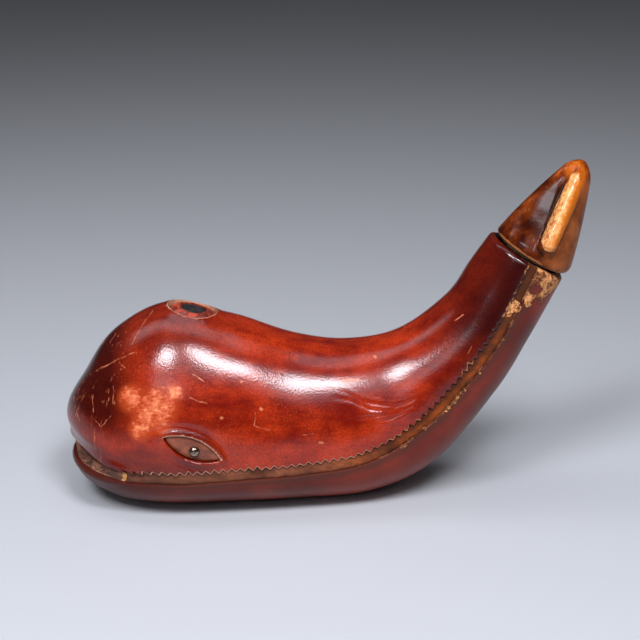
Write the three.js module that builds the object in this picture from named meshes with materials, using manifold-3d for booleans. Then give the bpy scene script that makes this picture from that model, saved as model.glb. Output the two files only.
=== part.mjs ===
// A blown-glass decanter in the shape of a whale, covered in wet-formed leather.
// The tail is the neck, stopped by a cork under a leather-covered fluke.
// Millimetres, +Z up, head towards -X, mirror plane y = 0, belly flat on z = 0.
import * as THREE from "three";
import { mergeVertices } from "three/addons/utils/BufferGeometryUtils.js";
import Module from "manifold-3d";

// Body lines from the mouth back to the neck, with the same stations on all three
const CROWN_LINE = [
  [-147, 31.5],
  [-149.3, 52],
  [-138, 73.5],
  [-119.5, 99],
  [-88, 114.5],
  [-52, 107],
  [-15, 95],
  [15, 92],
  [43.5, 98],
  [70, 118],
  [83, 138],
]; // x, z
const SEAM_LINE = [
  [-111, 46.5, 28.8],
  [-103, 48, 28.2],
  [-96, 49.8, 28.3],
  [-88, 51, 28.3],
  [-76, 52, 28.5],
  [-45, 50, 30.3],
  [-11, 46, 31.8],
  [24.5, 41, 37],
  [56.5, 36, 56],
  [86.5, 31, 89.5],
  [102.3, 27, 115],
]; // x, half width, z
const BELLY_LINE = [
  [-147, 31.5],
  [-143.5, 16.5],
  [-129.5, 6],
  [-114, 0],
  [-88, -2],
  [-52, -2],
  [-13, -1],
  [31, 2.5],
  [67.5, 21],
  [101, 64],
  [118.5, 95.5],
]; // x, z, cut flat at z = 0

// Neck
const RIM_X = 116;
const RIM_Z = 144.5;
const NECK_RADIUS = 24; // outside the leather
const NECK_TILT = 60; // degrees above the horizontal

// Layers, from the leather's outer face inwards
const HIDE = 2.8;
const GLUE = 0.6; // between leather and glass
const NOSE_GLUE = 0.8; // more of it at the tip of the nose
const GLASS = 4.5;
const FIT = 0.3; // between pieces that touch

// Seam between the upper hide and the belly
const UPPER_EDGE = 1.6; // above the seam line
const BELLY_EDGE = 4.5; // below the seam line
const SKIVE = 1; // thickness of the upper hide at its pared edge
const SKIVE_WIDTH = 7; // pared strip, back to the full thickness
const TOOTH_PITCH = 4.8; // zigzag of the pinked edge
const TOOTH_DEPTH = 2.2;
const BAND_LAP = 2.6; // band under the pinked edge
const MOUTH_REACH = 62; // along the lip from the middle to a corner
const SEAM_GAP = 0.6; // between a strip and the belly's edge
const MOUTH_DEPTH = 1.9; // mouth strip below the leather's outer face
const MOUTH_PINCH = 0.85; // share of its width by which the lip line is drawn in beside the nose
const NOSE_REACH = 2; // stations over which the nose widens again above the lip line

// Eyes, by station along the body and degrees above the seam line
const EYE_STATION = 4.22;
const EYE_ANGLE = 11.5;
const EYE_TILT = -24; // long axis falls towards the tail, degrees
const EYE_LENGTH = 35;
const EYE_HEIGHT = 12.5;
const INLAY_DEPTH = 1.3; // inlay below the leather's outer face
const STUD_RADIUS = 2.6;
const STUD_HEIGHT = 1.9;
const STUD_SHANK = 0.8; // radius
const STUD_BACK = 1.8; // from the eye's middle along its long axis
const STUD_DROP = 0.9;

// Blowhole
const BLOWHOLE_STATION = 4.4;
const BLOWHOLE_RADIUS = 14.3;
const PLUG_RADIUS = 7.5;
const RING_DEPTH = 0.8; // washer below the leather's outer face
const PLUG_DEPTH = 1.7;

// Stopper, along the neck's axis from the rim's plane
const HEAD_GAP = 2.6; // between the rim and the head
const HEAD_HEIGHT = 58.2;
const HEAD_RADIUS = 24;
const HEAD_SLOPE = 0.315; // radius lost for each millimetre of height
const HEAD_BULGE = 1.3; // swelling of the cone at half its height
const HEAD_FORWARD = 2.2; // foot of the head before the neck's axis
const HEAD_LEAN = 0.065; // backward lean for each millimetre of height
const HEAD_ROUND = 2.5; // rounded lower corner
const CAP_HEIGHT = 8; // rounded top
const FLUKE_SPAN = 34; // half span of the flukes' edge lines, produced to the base
const FLUKE_SLOPE = 0.47; // half span lost for each millimetre of height
const FLUKE_ROOT = 14; // half span where the flukes' lower edges meet the base
const FLUKE_LIFT = 1.5; // half span gained for each millimetre of height below the tips
const FLUKE_ROUND = 5; // rounding of the tips
const FLUKE_THICK = 4.4; // half thickness of a fluke's rounded edge
const HOLLOW = 4.2; // depth of the hollows between the front and the flukes
const HOLLOW_TURN = 122; // degrees from the front of the head to a hollow's middle
const HOLLOW_REACH = 46; // degrees from its middle to its edge
const HOLLOW_MIDDLE = 0.5; // share of the head's height
const HOLLOW_SPREAD = 0.42; // share of the head's height from its middle to its end
const COVER = 1.5; // leather over the core
const WASHER_RADIUS = 20;
const WASHER = 1.3;
const CORK_RADIUS = 16.4; // at the rim
const CORK_TAPER = 1.2; // radius lost down its length
const CORK_LENGTH = 26; // below the rim
const DOWEL_RADIUS = 4;
const DOWEL_DEPTH = 14; // in the core, and again in the cork

// Facets
const STATION_ROWS = 3; // rows of facets between stations
const HALF_STEPS = 14; // facets round half of a section
const PATH_STEPS = 12; // points on a seam path between stations
const TURN_STEPS = 36; // facets round the stopper's head
const WALL_ROWS = 6; // rows of facets up its wall
const LATHE_STEPS = 28;
const STUD_STEPS = 14;
const ARC_STEPS = 10;
const PATCH_STEPS = 4;
const SEAM_ROW = 7; // length of a facet along the seam
const TIP_ANGLES = [90, 80, 68, 56, 45, 36]; // degrees, rows from the middle of the mouth to its side
const LIP_ANGLES = [24, 12]; // more rows of the line at the seam's own height
const DOME_ANGLES = [0, 22, 45, 68]; // rows of a stud's dome
const CAP_ANGLES = [30, 55, 75, 90]; // rows of the head's rounded top
const TURN_CROWDING = 0.3; // how far facets gather on the flukes' edges
const FLUKE_BLEND = 8; // exponent of the join between the head's cone and its flukes

const UPPER = 1;
const LOWER = -1;
const { lerp, clamp, degToRad } = THREE.MathUtils;
const NECK_ANGLE = degToRad(NECK_TILT);
const FLASK_DEPTH = HIDE + GLUE;
const CUT_REACH = 3 * HIDE; // of a cutting prism, above and below the skin
const LAST = SEAM_LINE.length; // station of the rim
const MOUTH_STATIONS = 2; // stations in which the edges turn round the mouth
const MERGE_DISTANCE = 1e-4;
const SMALL_STEP = 0.01; // in stations or radians, for slopes

const wasm = await Module();
wasm.setup();

// Solids and geometries

function solidOf(geometry) {
  const vertProperties = new Float32Array(geometry.attributes.position.array);
  const triVerts = new Uint32Array(geometry.index.array);
  return new wasm.Manifold(new wasm.Mesh({ numProp: 3, vertProperties, triVerts }));
}

function geometryOf(solid) {
  const mesh = solid.getMesh();
  const geometry = new THREE.BufferGeometry();
  geometry.setAttribute("position", new THREE.BufferAttribute(mesh.vertProperties, 3));
  geometry.setIndex(new THREE.BufferAttribute(mesh.triVerts, 1));
  return geometry;
}

function cut(geometry, ...tools) {
  return geometryOf(tools.reduce((solid, tool) => solid.subtract(solidOf(tool)), solidOf(geometry)));
}

function common(geometry, other) {
  return geometryOf(solidOf(geometry).intersect(solidOf(other)));
}

// Merges shared points, drops flat triangles and turns the faces outwards.
function closed(points, triangles) {
  const raw = new THREE.BufferGeometry().setFromPoints(points);
  raw.setIndex(triangles);
  const merged = mergeVertices(raw, MERGE_DISTANCE);
  const at = (n) => new THREE.Vector3().fromBufferAttribute(merged.attributes.position, n);
  const kept = [];
  let volume = 0;
  for (let n = 0; n < merged.index.count; n += 3) {
    const [a, b, c] = [0, 1, 2].map((corner) => merged.index.getX(n + corner));
    if (a === b || b === c || c === a) continue;
    kept.push([a, b, c]);
    volume += at(a).dot(at(b).cross(at(c)));
  }
  merged.setIndex(kept.flatMap(([a, b, c]) => (volume > 0 ? [a, b, c] : [a, c, b])));
  return merged;
}

// The two triangles of a quad, split along its shorter diagonal.
function quad(points, a, b, c, d) {
  const firstIsShorter = points[a].distanceTo(points[c]) < points[b].distanceTo(points[d]);
  if (firstIsShorter) return [a, b, c, a, c, d];
  return [b, c, d, b, d, a];
}

// A plate of points place(row, column, layer), with layer 0 outside and 1 inside.
function plate(rows, columns, place) {
  const points = [];
  const triangles = [];
  const number = (row, column, layer) => (row * (columns + 1) + column) * 2 + layer;
  for (let row = 0; row <= rows; row++)
    for (let column = 0; column <= columns; column++)
      for (const layer of [0, 1]) points.push(place(row, column, layer));
  const face = (...corners) => triangles.push(...quad(points, ...corners));
  for (let row = 0; row < rows; row++)
    for (let column = 0; column < columns; column++) {
      const corners = [[0, 0], [1, 0], [1, 1], [0, 1]];
      const [outer, inner] = [0, 1].map((layer) =>
        corners.map(([r, c]) => number(row + r, column + c, layer)),
      );
      face(...outer);
      face(...inner.reverse());
    }
  const wall = (a, b) => face(number(...a, 0), number(...a, 1), number(...b, 1), number(...b, 0));
  for (let row = 0; row < rows; row++) {
    wall([row, 0], [row + 1, 0]);
    wall([row + 1, columns], [row, columns]);
  }
  for (let column = 0; column < columns; column++) {
    wall([0, column + 1], [0, column]);
    wall([rows, column], [rows, column + 1]);
  }
  return closed(points, triangles);
}

// Rings of points place(ring, step), joined in order, with the steps going round.
function rings(count, steps, place) {
  const points = [];
  const triangles = [];
  for (let ring = 0; ring < count; ring++)
    for (let step = 0; step < steps; step++) points.push(place(ring, step));
  for (let ring = 0; ring < count - 1; ring++)
    for (let step = 0; step < steps; step++) {
      const next = (step + 1) % steps;
      const [a, b] = [ring * steps + step, ring * steps + next];
      triangles.push(...quad(points, a, b, b + steps, a + steps));
    }
  return closed(points, triangles);
}

// Any closed geometry as one mesh of shared points with its faces outwards.
function tidy(geometry) {
  const position = geometry.attributes.position;
  const points = Array.from({ length: position.count }, (_, n) =>
    new THREE.Vector3().fromBufferAttribute(position, n),
  );
  return closed(points, geometry.index ? [...geometry.index.array] : [...points.keys()]);
}

function mirrored(geometry) {
  return tidy(geometry.clone().scale(1, -1, 1));
}

// A turned piece about +Z from its [radius, height] outline, which starts and ends on the axis.
function turned(outline, steps = LATHE_STEPS) {
  const points = outline.map(([radius, height]) => new THREE.Vector2(radius, height));
  return tidy(new THREE.LatheGeometry(points, steps).rotateX(Math.PI / 2));
}

function piece(name, geometry, color, roughness, metalness = 0) {
  const material = new THREE.MeshStandardMaterial({ color, roughness, metalness });
  const mesh = new THREE.Mesh(geometry, material);
  mesh.name = name;
  return mesh;
}

// Body surface

const rimCentre = new THREE.Vector3(RIM_X, 0, RIM_Z);
const rimUp = new THREE.Vector3(-Math.sin(NECK_ANGLE), 0, Math.cos(NECK_ANGLE));
const rimTop = rimCentre.clone().addScaledVector(rimUp, NECK_RADIUS);
const rimBottom = rimCentre.clone().addScaledVector(rimUp, -NECK_RADIUS);

function smooth(points) {
  const curve = new THREE.CatmullRomCurve3(points, false, "catmullrom", 0.5);
  return (station) => curve.getPoint(station / LAST);
}

const crownAt = smooth([...CROWN_LINE.map(([x, z]) => new THREE.Vector3(x, 0, z)), rimTop]);
const bellyAt = smooth([...BELLY_LINE.map(([x, z]) => new THREE.Vector3(x, 0, z)), rimBottom]);
const seamAt = smooth([
  ...SEAM_LINE.map(([x, width, z]) => new THREE.Vector3(x, width, z)),
  new THREE.Vector3(RIM_X, NECK_RADIUS, RIM_Z),
]);

// From the middle of a section, at the height of its seam, to its top or bottom line.
function reach(half, station) {
  const seam = seamAt(station);
  const end = half === UPPER ? crownAt(station) : bellyAt(station);
  return end.sub(new THREE.Vector3(seam.x, 0, seam.z));
}

// Share of a section's width lost at an angle, where the lip line is drawn in above the jaw's edge.
function pinch(half, station, angle) {
  const nose = Math.max(0, 1 - station / NOSE_REACH) ** 2;
  const height = (rise(half, station) - rise(half, 0)) * Math.sin(angle);
  const jaw = Math.max(0, 1 - height / BELLY_EDGE);
  return MOUTH_PINCH * (half === UPPER ? nose : jaw) * Math.sin(angle) ** 2;
}

// A point of the layer at a depth below the leather's outer face. The angle goes over from -Y to +Y.
function skin(half, station, angle, depth) {
  const seam = seamAt(station);
  const arm = reach(half, station);
  const width = seam.y * (1 - pinch(half, station, angle)) - depth;
  const point = new THREE.Vector3(seam.x, -width * Math.cos(angle), seam.z);
  point.addScaledVector(arm, Math.sin(angle) * (1 - depth / arm.length()));
  if (half === LOWER) point.z = Math.max(point.z, depth);
  return point;
}

// How far a section's arc rises square to the run of the seam.
function rise(half, station) {
  const arm = reach(half, station);
  const ahead = seamAt(Math.min(station + SMALL_STEP, LAST));
  const behind = seamAt(Math.max(station - SMALL_STEP, 0));
  const run = ahead.sub(behind).setY(0).normalize();
  return half * (arm.z * run.x - arm.x * run.z);
}

// Station near the mouth where the arc's rise reaches a height.
function stationOfRise(half, height) {
  let [low, high] = [0, MOUTH_STATIONS];
  while (high - low > MERGE_DISTANCE * SMALL_STEP) {
    const middle = (low + high) / 2;
    if (rise(half, middle) < height) low = middle;
    else high = middle;
  }
  return high;
}

// The line at a height from the seam, as { station, angle } from the middle of the mouth back to the rim.
function edgeLine(half, height, rowsBetween) {
  const tip = TIP_ANGLES.map(degToRad).map((angle) => {
    const station = height ? stationOfRise(half, height / Math.sin(angle)) : 0;
    return { station, angle };
  });
  if (!height) tip.push(...LIP_ANGLES.map(degToRad).map((angle) => ({ station: 0, angle })));
  const first = tip.at(-1).station;
  const count = Math.ceil((LAST - first) * rowsBetween);
  for (let row = height ? 1 : 0; row <= count; row++) {
    const station = first + ((LAST - first) * row) / count;
    tip.push({ station, angle: height ? Math.asin(height / rise(half, station)) : 0 });
  }
  return tip;
}

// Seam paths by height, with the share of their length at each point.
const paths = new Map();
function pathAt(height) {
  if (!paths.has(height)) {
    const half = height < 0 ? LOWER : UPPER;
    const line = edgeLine(half, Math.abs(height), PATH_STEPS);
    const points = line.map(({ station, angle }) => skin(half, station, angle, 0));
    const lengths = [0];
    for (let n = 1; n < points.length; n++) {
      const step = points[n].distanceTo(points[n - 1]);
      lengths.push(lengths[n - 1] + step);
    }
    paths.set(height, { half, line, lengths });
  }
  return paths.get(height);
}
const SEAM_LENGTH = pathAt(0).lengths.at(-1);
const corner = MOUTH_REACH / SEAM_LENGTH; // share of the way where the mouth ends

// A point by its share of the way from the mouth's middle to the rim, below zero on the -Y side.
function bySeam(share, height, depth) {
  const { half, line, lengths } = pathAt(height);
  const target = Math.min(Math.abs(share), 1) * lengths.at(-1);
  const n = Math.max(1, lengths.findIndex((length) => length > target - MERGE_DISTANCE));
  const part = (target - lengths[n - 1]) / (lengths[n] - lengths[n - 1]);
  const station = lerp(line[n - 1].station, line[n].station, part);
  const angle = lerp(line[n - 1].angle, line[n].angle, part);
  const point = skin(half, station, angle, depth);
  if (share > 0) point.y = -point.y;
  return point;
}

// Thickness of the upper hide at a height above the seam, pared towards its edge.
function hideThickness(height) {
  const share = clamp((height - UPPER_EDGE) / SKIVE_WIDTH, 0, 1);
  return lerp(SKIVE, HIDE, share);
}

// A strip along the seam between two shares, under the upper hide's edge and beside the belly's.
function strip(from, to, depth) {
  const rows = Math.ceil((Math.abs(to - from) * SEAM_LENGTH) / SEAM_ROW);
  const heights = [SEAM_GAP - BELLY_EDGE, 0, UPPER_EDGE, UPPER_EDGE + BAND_LAP];
  return plate(rows, heights.length - 1, (row, column, layer) => {
    const share = lerp(from, to, row / rows);
    const height = heights[column];
    return bySeam(share, height, layer ? HIDE : Math.max(depth, hideThickness(height) + FIT));
  });
}

// The lower hide, from its edge line on one side to the other.
function lowerHide() {
  const line = edgeLine(LOWER, BELLY_EDGE, STATION_ROWS);
  return plate(line.length - 1, HALF_STEPS, (row, column, layer) => {
    const { station, angle } = line[row];
    const across = lerp(angle, Math.PI - angle, column / HALF_STEPS);
    return skin(LOWER, station, across, layer * HIDE);
  });
}

// The upper hide's edge on the -Y side: plain along the lip, then a zigzag back to the rim.
function pinkedEdge() {
  const edge = [];
  const lipSteps = Math.ceil(MOUTH_REACH / SEAM_ROW);
  for (let step = 0; step < lipSteps; step++) {
    const share = (corner * step) / lipSteps;
    edge.push({ share, height: UPPER_EDGE });
  }
  const halfTeeth = 2 * Math.round(((1 - corner) * SEAM_LENGTH) / TOOTH_PITCH);
  for (let step = 0; step <= halfTeeth; step++) {
    const share = lerp(corner, 1, step / halfTeeth);
    edge.push({ share, height: UPPER_EDGE + (step % 2) * TOOTH_DEPTH });
  }
  return edge;
}

// Triangles between two lines of numbered points that run side by side, by their shares of the way.
function zip(lower, upper) {
  const triangles = [];
  let [a, b] = [0, 0];
  while (a < lower.length - 1 || b < upper.length - 1) {
    const nextLower = a < lower.length - 1 ? lower[a + 1].share : Infinity;
    const nextUpper = b < upper.length - 1 ? upper[b + 1].share : Infinity;
    const [here, there] = [lower[a].number, upper[b].number];
    if (nextLower <= nextUpper) {
      a += 1;
      triangles.push([here, lower[a].number, there]);
    } else {
      b += 1;
      triangles.push([here, upper[b].number, there]);
    }
  }
  return triangles;
}

// The upper hide: a coarse grid to the middle line, zipped to the fine edge and mirrored.
function upperHideBlank() {
  const points = [];
  const add = (point) => points.push(point) - 1;
  const rows = edgeLine(UPPER, UPPER_EDGE + SKIVE_WIDTH, STATION_ROWS);
  const columns = HALF_STEPS / 2;
  const layers = [0, 1].map((layer) => {
    const edge = pinkedEdge().map(({ share, height }) => {
      return { share, number: add(bySeam(-share, height, layer * hideThickness(height))) };
    });
    const grid = rows.map(({ station, angle }) =>
      Array.from({ length: columns + 1 }, (_, column) => {
        const across = lerp(angle, Math.PI / 2, column / columns);
        return add(skin(UPPER, station, across, layer * HIDE));
      }),
    );
    let length = 0;
    const lengths = grid.map(([number], row) => {
      length += row ? points[number].distanceTo(points[grid[row - 1][0]]) : 0;
      return length;
    });
    const side = grid.map(([number], row) => ({ share: lengths[row] / length, number }));
    return { edge, grid, side };
  });
  const triangles = [];
  layers.forEach(({ edge, grid, side }, layer) => {
    const faces = zip(edge, side);
    for (let row = 0; row < grid.length - 1; row++)
      for (let column = 0; column < columns; column++) {
        const [a, b] = [grid[row][column], grid[row + 1][column]];
        const [c, d] = [grid[row + 1][column + 1], grid[row][column + 1]];
        const two = quad(points, a, b, c, d);
        faces.push(two.slice(0, 3), two.slice(3));
      }
    for (const [a, b, c] of faces) triangles.push(layer ? [a, c, b] : [a, b, c]);
  });
  const wall = (outer, inner) => {
    for (let n = 0; n < outer.length - 1; n++)
      triangles.push([outer[n + 1], outer[n], inner[n]], [outer[n + 1], inner[n], inner[n + 1]]);
  };
  wall(...layers.map(({ edge }) => edge.map(({ number }) => number)));
  wall(...layers.map(({ edge, grid }) => [edge.at(-1).number, ...grid.at(-1)]));
  const half = points.length;
  const both = [...points, ...points.map((point) => new THREE.Vector3(point.x, -point.y, point.z))];
  const far = triangles.map(([a, b, c]) => [a + half, c + half, b + half]);
  return closed(both, [...triangles, ...far].flat());
}

// How far to go in steps until the point there is a distance from where it started.
function walk(pointAt, step, distance) {
  const start = pointAt(0);
  let gone = 0;
  while (pointAt(gone).distanceTo(start) < distance) gone += step;
  return gone;
}

// A patch of the upper skin that reaches a distance from its middle on all sides, between two depths.
function patch(station, angle, distance, depths) {
  const along = (gone) => skin(UPPER, station + gone, angle, 0);
  const across = (gone) => skin(UPPER, station, angle + gone, 0);
  const [back, on] = [-1, 1].map((way) => station + walk(along, way * SMALL_STEP, distance));
  const [down, up] = [-1, 1].map((way) => angle + walk(across, way * SMALL_STEP, distance));
  return plate(PATCH_STEPS, PATCH_STEPS, (row, column, layer) => {
    const at = lerp(back, on, row / PATCH_STEPS);
    const turn = lerp(Math.max(down, 0), up, column / PATCH_STEPS);
    return skin(UPPER, at, turn, depths[layer]);
  });
}

// The place on the upper skin whose X runs along the body, turned by a tilt, and whose Z points out.
function placeOn(station, angle, tilt) {
  const slope = (stations, angles) => {
    const ahead = skin(UPPER, station + stations, angle + angles, 0);
    return ahead.sub(skin(UPPER, station - stations, angle - angles, 0));
  };
  const along = slope(SMALL_STEP, 0);
  const out = along.clone().cross(slope(0, SMALL_STEP)).normalize();
  const long = along.normalize().applyAxisAngle(out, degToRad(tilt));
  const basis = new THREE.Matrix4().makeBasis(long, out.clone().cross(long), out);
  return basis.setPosition(skin(UPPER, station, angle, 0));
}

// An upright prism or ring of a flat shape, from below to above the skin.
function prism(shape, place) {
  const settings = { depth: 2 * CUT_REACH, bevelEnabled: false, curveSegments: ARC_STEPS };
  const geometry = new THREE.ExtrudeGeometry(shape, settings);
  return tidy(geometry.translate(0, 0, -CUT_REACH).applyMatrix4(place));
}

function round(radius, hole = 0) {
  const shape = new THREE.Shape().absarc(0, 0, radius, 0, 2 * Math.PI);
  if (hole) shape.holes.push(new THREE.Path().absarc(0, 0, hole, 0, 2 * Math.PI));
  return shape;
}

// Two arcs that meet in points at both ends.
function almond(length, height) {
  const radius = (length * length + height * height) / (4 * height);
  const half = Math.asin(length / 2 / radius);
  const centre = radius - height / 2;
  const shape = new THREE.Shape();
  shape.absarc(0, -centre, radius, Math.PI / 2 - half, Math.PI / 2 + half);
  shape.absarc(0, centre, radius, -Math.PI / 2 - half, -Math.PI / 2 + half);
  return shape;
}

// Glass flask

function flaskShell() {
  const outer = Array.from({ length: LAST * STATION_ROWS + 1 }, (_, row) => row / STATION_ROWS);
  const inner = outer.filter((_, row) => row % 2 === 1 || row === 0).reverse();
  const rows = [
    ...outer.map((station) => [station, FLASK_DEPTH + NOSE_GLUE * Math.max(0, 1 - station)]),
    [LAST, FLASK_DEPTH + GLASS],
    ...inner.filter((station) => station < LAST).map((station) => [station, FLASK_DEPTH + GLASS]),
  ];
  return rings(rows.length, 2 * HALF_STEPS, (ring, step) => {
    const [station, depth] = rows[ring];
    const half = step <= HALF_STEPS ? UPPER : LOWER;
    const angle = (Math.PI * (half === UPPER ? step : 2 * HALF_STEPS - step)) / HALF_STEPS;
    return skin(half, station, angle, depth);
  });
}

const neck = new THREE.Matrix4()
  .makeRotationY(Math.PI / 2 - NECK_ANGLE)
  .setPosition(rimCentre);
const corkAt = (depth) => CORK_RADIUS - (CORK_TAPER * depth) / CORK_LENGTH;
const seat = turned([
  [0, -CORK_LENGTH],
  [corkAt(CORK_LENGTH) + FIT, -CORK_LENGTH],
  [corkAt(-GLASS) + FIT, GLASS],
  [0, GLASS],
]).applyMatrix4(neck);
const flask = cut(flaskShell(), seat);

// Hides and the strips in the seam

const eyeAngle = degToRad(EYE_ANGLE);
const eyePlace = placeOn(EYE_STATION, eyeAngle, EYE_TILT);
const eyeOpening = prism(almond(EYE_LENGTH, EYE_HEIGHT), eyePlace);
const blowholePlace = placeOn(BLOWHOLE_STATION, Math.PI / 2, 0);
const blowhole = prism(round(BLOWHOLE_RADIUS), blowholePlace);
const upperHide = cut(upperHideBlank(), eyeOpening, mirrored(eyeOpening), blowhole);
const bellyHide = lowerHide();
const band = strip(-corner, -1, SKIVE + FIT);
const mouthEnd = corner - FIT / SEAM_LENGTH;
const mouthStrip = strip(-mouthEnd, mouthEnd, MOUTH_DEPTH);

// Eyes

const toStud = new THREE.Matrix4().makeTranslation(STUD_BACK, -STUD_DROP, 0);
const studPlace = eyePlace.clone().multiply(toStud);
const inlay = cut(
  common(
    patch(EYE_STATION, eyeAngle, EYE_LENGTH / 2 + HIDE, [INLAY_DEPTH, HIDE]),
    prism(almond(EYE_LENGTH - 2 * FIT, EYE_HEIGHT - 2 * FIT), eyePlace),
  ),
  prism(round(STUD_SHANK + FIT), studPlace),
);
const dome = DOME_ANGLES.map(degToRad).map((angle) => {
  return [STUD_RADIUS * Math.cos(angle), STUD_HEIGHT * Math.sin(angle)];
});
const shankEnd = INLAY_DEPTH - HIDE;
const shank = [[0, shankEnd], [STUD_SHANK, shankEnd], [STUD_SHANK, 0]];
const stud = turned([...shank, ...dome, [0, STUD_HEIGHT]], STUD_STEPS)
  .translate(0, 0, FIT - INLAY_DEPTH)
  .applyMatrix4(studPlace);

// Blowhole

const crownPatch = (depth) => {
  return patch(BLOWHOLE_STATION, Math.PI / 2, BLOWHOLE_RADIUS + HIDE, [depth, HIDE]);
};
const blowholeRing = common(
  crownPatch(RING_DEPTH),
  prism(round(BLOWHOLE_RADIUS - FIT, PLUG_RADIUS + FIT), blowholePlace),
);
const blowholePlug = common(
  crownPatch(PLUG_DEPTH),
  prism(round(PLUG_RADIUS), blowholePlace),
);

// Stopper, with +Z along the neck's axis from the rim's plane

const softMin = (a, b, blend) => (a + b - Math.hypot(a - b, blend)) / 2;

// Reach of a bar with rounded ends, of a half span along Y and a half thickness, in a direction.
function barReach(halfSpan, halfThick, turn) {
  const [across, along] = [Math.abs(Math.cos(turn)), Math.abs(Math.sin(turn))];
  const centre = Math.max(halfSpan - halfThick, 0);
  const inside = halfThick * halfThick - across * across * centre * centre;
  if (inside < 0 || along * centre * across > halfThick * along * along) return halfThick / across;
  return along * centre + Math.sqrt(inside);
}

// Depth of the hollow beside a fluke, at a share of the height and a turn.
function hollow(share, turn) {
  const fromFront = THREE.MathUtils.radToDeg(Math.acos(Math.cos(turn)));
  const across = (fromFront - HOLLOW_TURN) / HOLLOW_REACH;
  const along = (share - HOLLOW_MIDDLE) / HOLLOW_SPREAD;
  return HOLLOW * Math.max(0, 1 - across * across) * Math.max(0, 1 - along * along);
}

// A point of the head at a height above its foot, inset from the cover's outer face.
function headPoint(height, turn, inset) {
  const top = HEAD_HEIGHT - inset;
  const intoCap = Math.max(0, (height - top + CAP_HEIGHT) / CAP_HEIGHT);
  const cap = Math.sqrt(Math.max(0, 1 - intoCap * intoCap));
  const underRound = Math.max(0, HEAD_ROUND - height);
  const drawn = HEAD_ROUND - Math.sqrt(HEAD_ROUND * HEAD_ROUND - underRound * underRound);
  const share = height / HEAD_HEIGHT;
  const bulge = HEAD_BULGE * 4 * share * (1 - share);
  const cone = HEAD_RADIUS - HEAD_SLOPE * height + bulge - drawn - hollow(share, turn) - inset;
  const lowerEdge = FLUKE_ROOT + FLUKE_LIFT * height;
  const upperEdge = FLUKE_SPAN - FLUKE_SLOPE * height;
  const edge = softMin(lowerEdge, upperEdge, FLUKE_ROUND);
  const bar = barReach(edge - inset, FLUKE_THICK - inset, turn);
  const radius = cap * (cone ** FLUKE_BLEND + bar ** FLUKE_BLEND) ** (1 / FLUKE_BLEND);
  const [x, y] = [radius * Math.cos(turn), radius * Math.sin(turn)];
  return new THREE.Vector3(x + HEAD_FORWARD - HEAD_LEAN * height, y, HEAD_GAP + height);
}

function headRows(inset) {
  const wall = HEAD_HEIGHT - inset - CAP_HEIGHT;
  const heights = [0, HEAD_ROUND / 3];
  for (let row = 0; row <= WALL_ROWS; row++) heights.push(lerp(HEAD_ROUND, wall, row / WALL_ROWS));
  for (const angle of CAP_ANGLES.map(degToRad)) heights.push(wall + CAP_HEIGHT * Math.sin(angle));
  return heights.map((height) => ({ height, inset }));
}

// Turns are closer together on the flukes' edges than on the faces between them.
function headTurn(step) {
  const even = (2 * Math.PI * step) / TURN_STEPS;
  return even + TURN_CROWDING * Math.sin(2 * even);
}

function headRings(rows) {
  return rings(rows.length, TURN_STEPS, (ring, step) => {
    const { height, inset } = rows[ring];
    if (inset === undefined) return new THREE.Vector3(0, 0, HEAD_GAP + height);
    return headPoint(height, headTurn(step), inset);
  });
}

const coverRows = [...headRows(0), ...headRows(COVER).reverse(), headRows(0)[0]];
const cover = headRings(coverRows);
const dowelHole = DOWEL_RADIUS + FIT;
const drilled = (bottom, top) => turned([[0, bottom], [dowelHole, bottom], [dowelHole, top], [0, top]]);
const dowelTop = HEAD_GAP + DOWEL_DEPTH;
const core = cut(
  headRings([{ height: 0 }, ...headRows(COVER + FIT)]),
  drilled(HEAD_GAP - COVER, dowelTop + FIT),
);
const washerTop = HEAD_GAP - FIT;
const washerBottom = washerTop - WASHER;
const washer = turned([
  [dowelHole, washerBottom],
  [WASHER_RADIUS, washerBottom],
  [WASHER_RADIUS, washerTop],
  [dowelHole, washerTop],
  [dowelHole, washerBottom],
]);
const corkTop = washerBottom - FIT;
const dowelBottom = corkTop - DOWEL_DEPTH;
const cork = cut(
  turned([
    [0, -CORK_LENGTH],
    [corkAt(CORK_LENGTH), -CORK_LENGTH],
    [corkAt(-corkTop), corkTop],
    [0, corkTop],
  ]),
  drilled(dowelBottom - FIT, corkTop + FIT),
);
const dowel = turned([
  [0, dowelBottom],
  [DOWEL_RADIUS, dowelBottom],
  [DOWEL_RADIUS, dowelTop],
  [0, dowelTop],
]);

// Assembly

const CLEAR = 0x9fb3a8;
const OXBLOOD = 0x6b2218;
const DARK_HIDE = 0x4a1c17;
const BAND_BROWN = 0x8a5a32;
const RUSSET = 0x8c3320;
const BLACK = 0x0d0b0a;
const GREY_BROWN = 0x5b4438;
const NICKEL = 0xb9a68a;
const VARNISHED = 0x9a5426;
const TURNED_WOOD = 0xa9825a;
const CORK_TAN = 0xb98d5c;

const decanter = new THREE.Group();
decanter.add(
  piece("glass_flask", flask, CLEAR, 0.05),
  piece("upper_hide", upperHide, OXBLOOD, 0.35),
  piece("belly_hide", bellyHide, DARK_HIDE, 0.3),
  piece("mouth_strip", mouthStrip, BAND_BROWN, 0.7),
  piece("blowhole_ring", blowholeRing, RUSSET, 0.5),
  piece("blowhole_plug", blowholePlug, BLACK, 0.8),
);
for (const [side, turnedOver] of [["left", (geometry) => geometry], ["right", mirrored]])
  decanter.add(
    piece("seam_band_" + side, turnedOver(band), BAND_BROWN, 0.7),
    piece("eye_inlay_" + side, turnedOver(inlay), GREY_BROWN, 0.5),
    piece("eye_stud_" + side, turnedOver(stud), NICKEL, 0.3, 1),
  );

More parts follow.
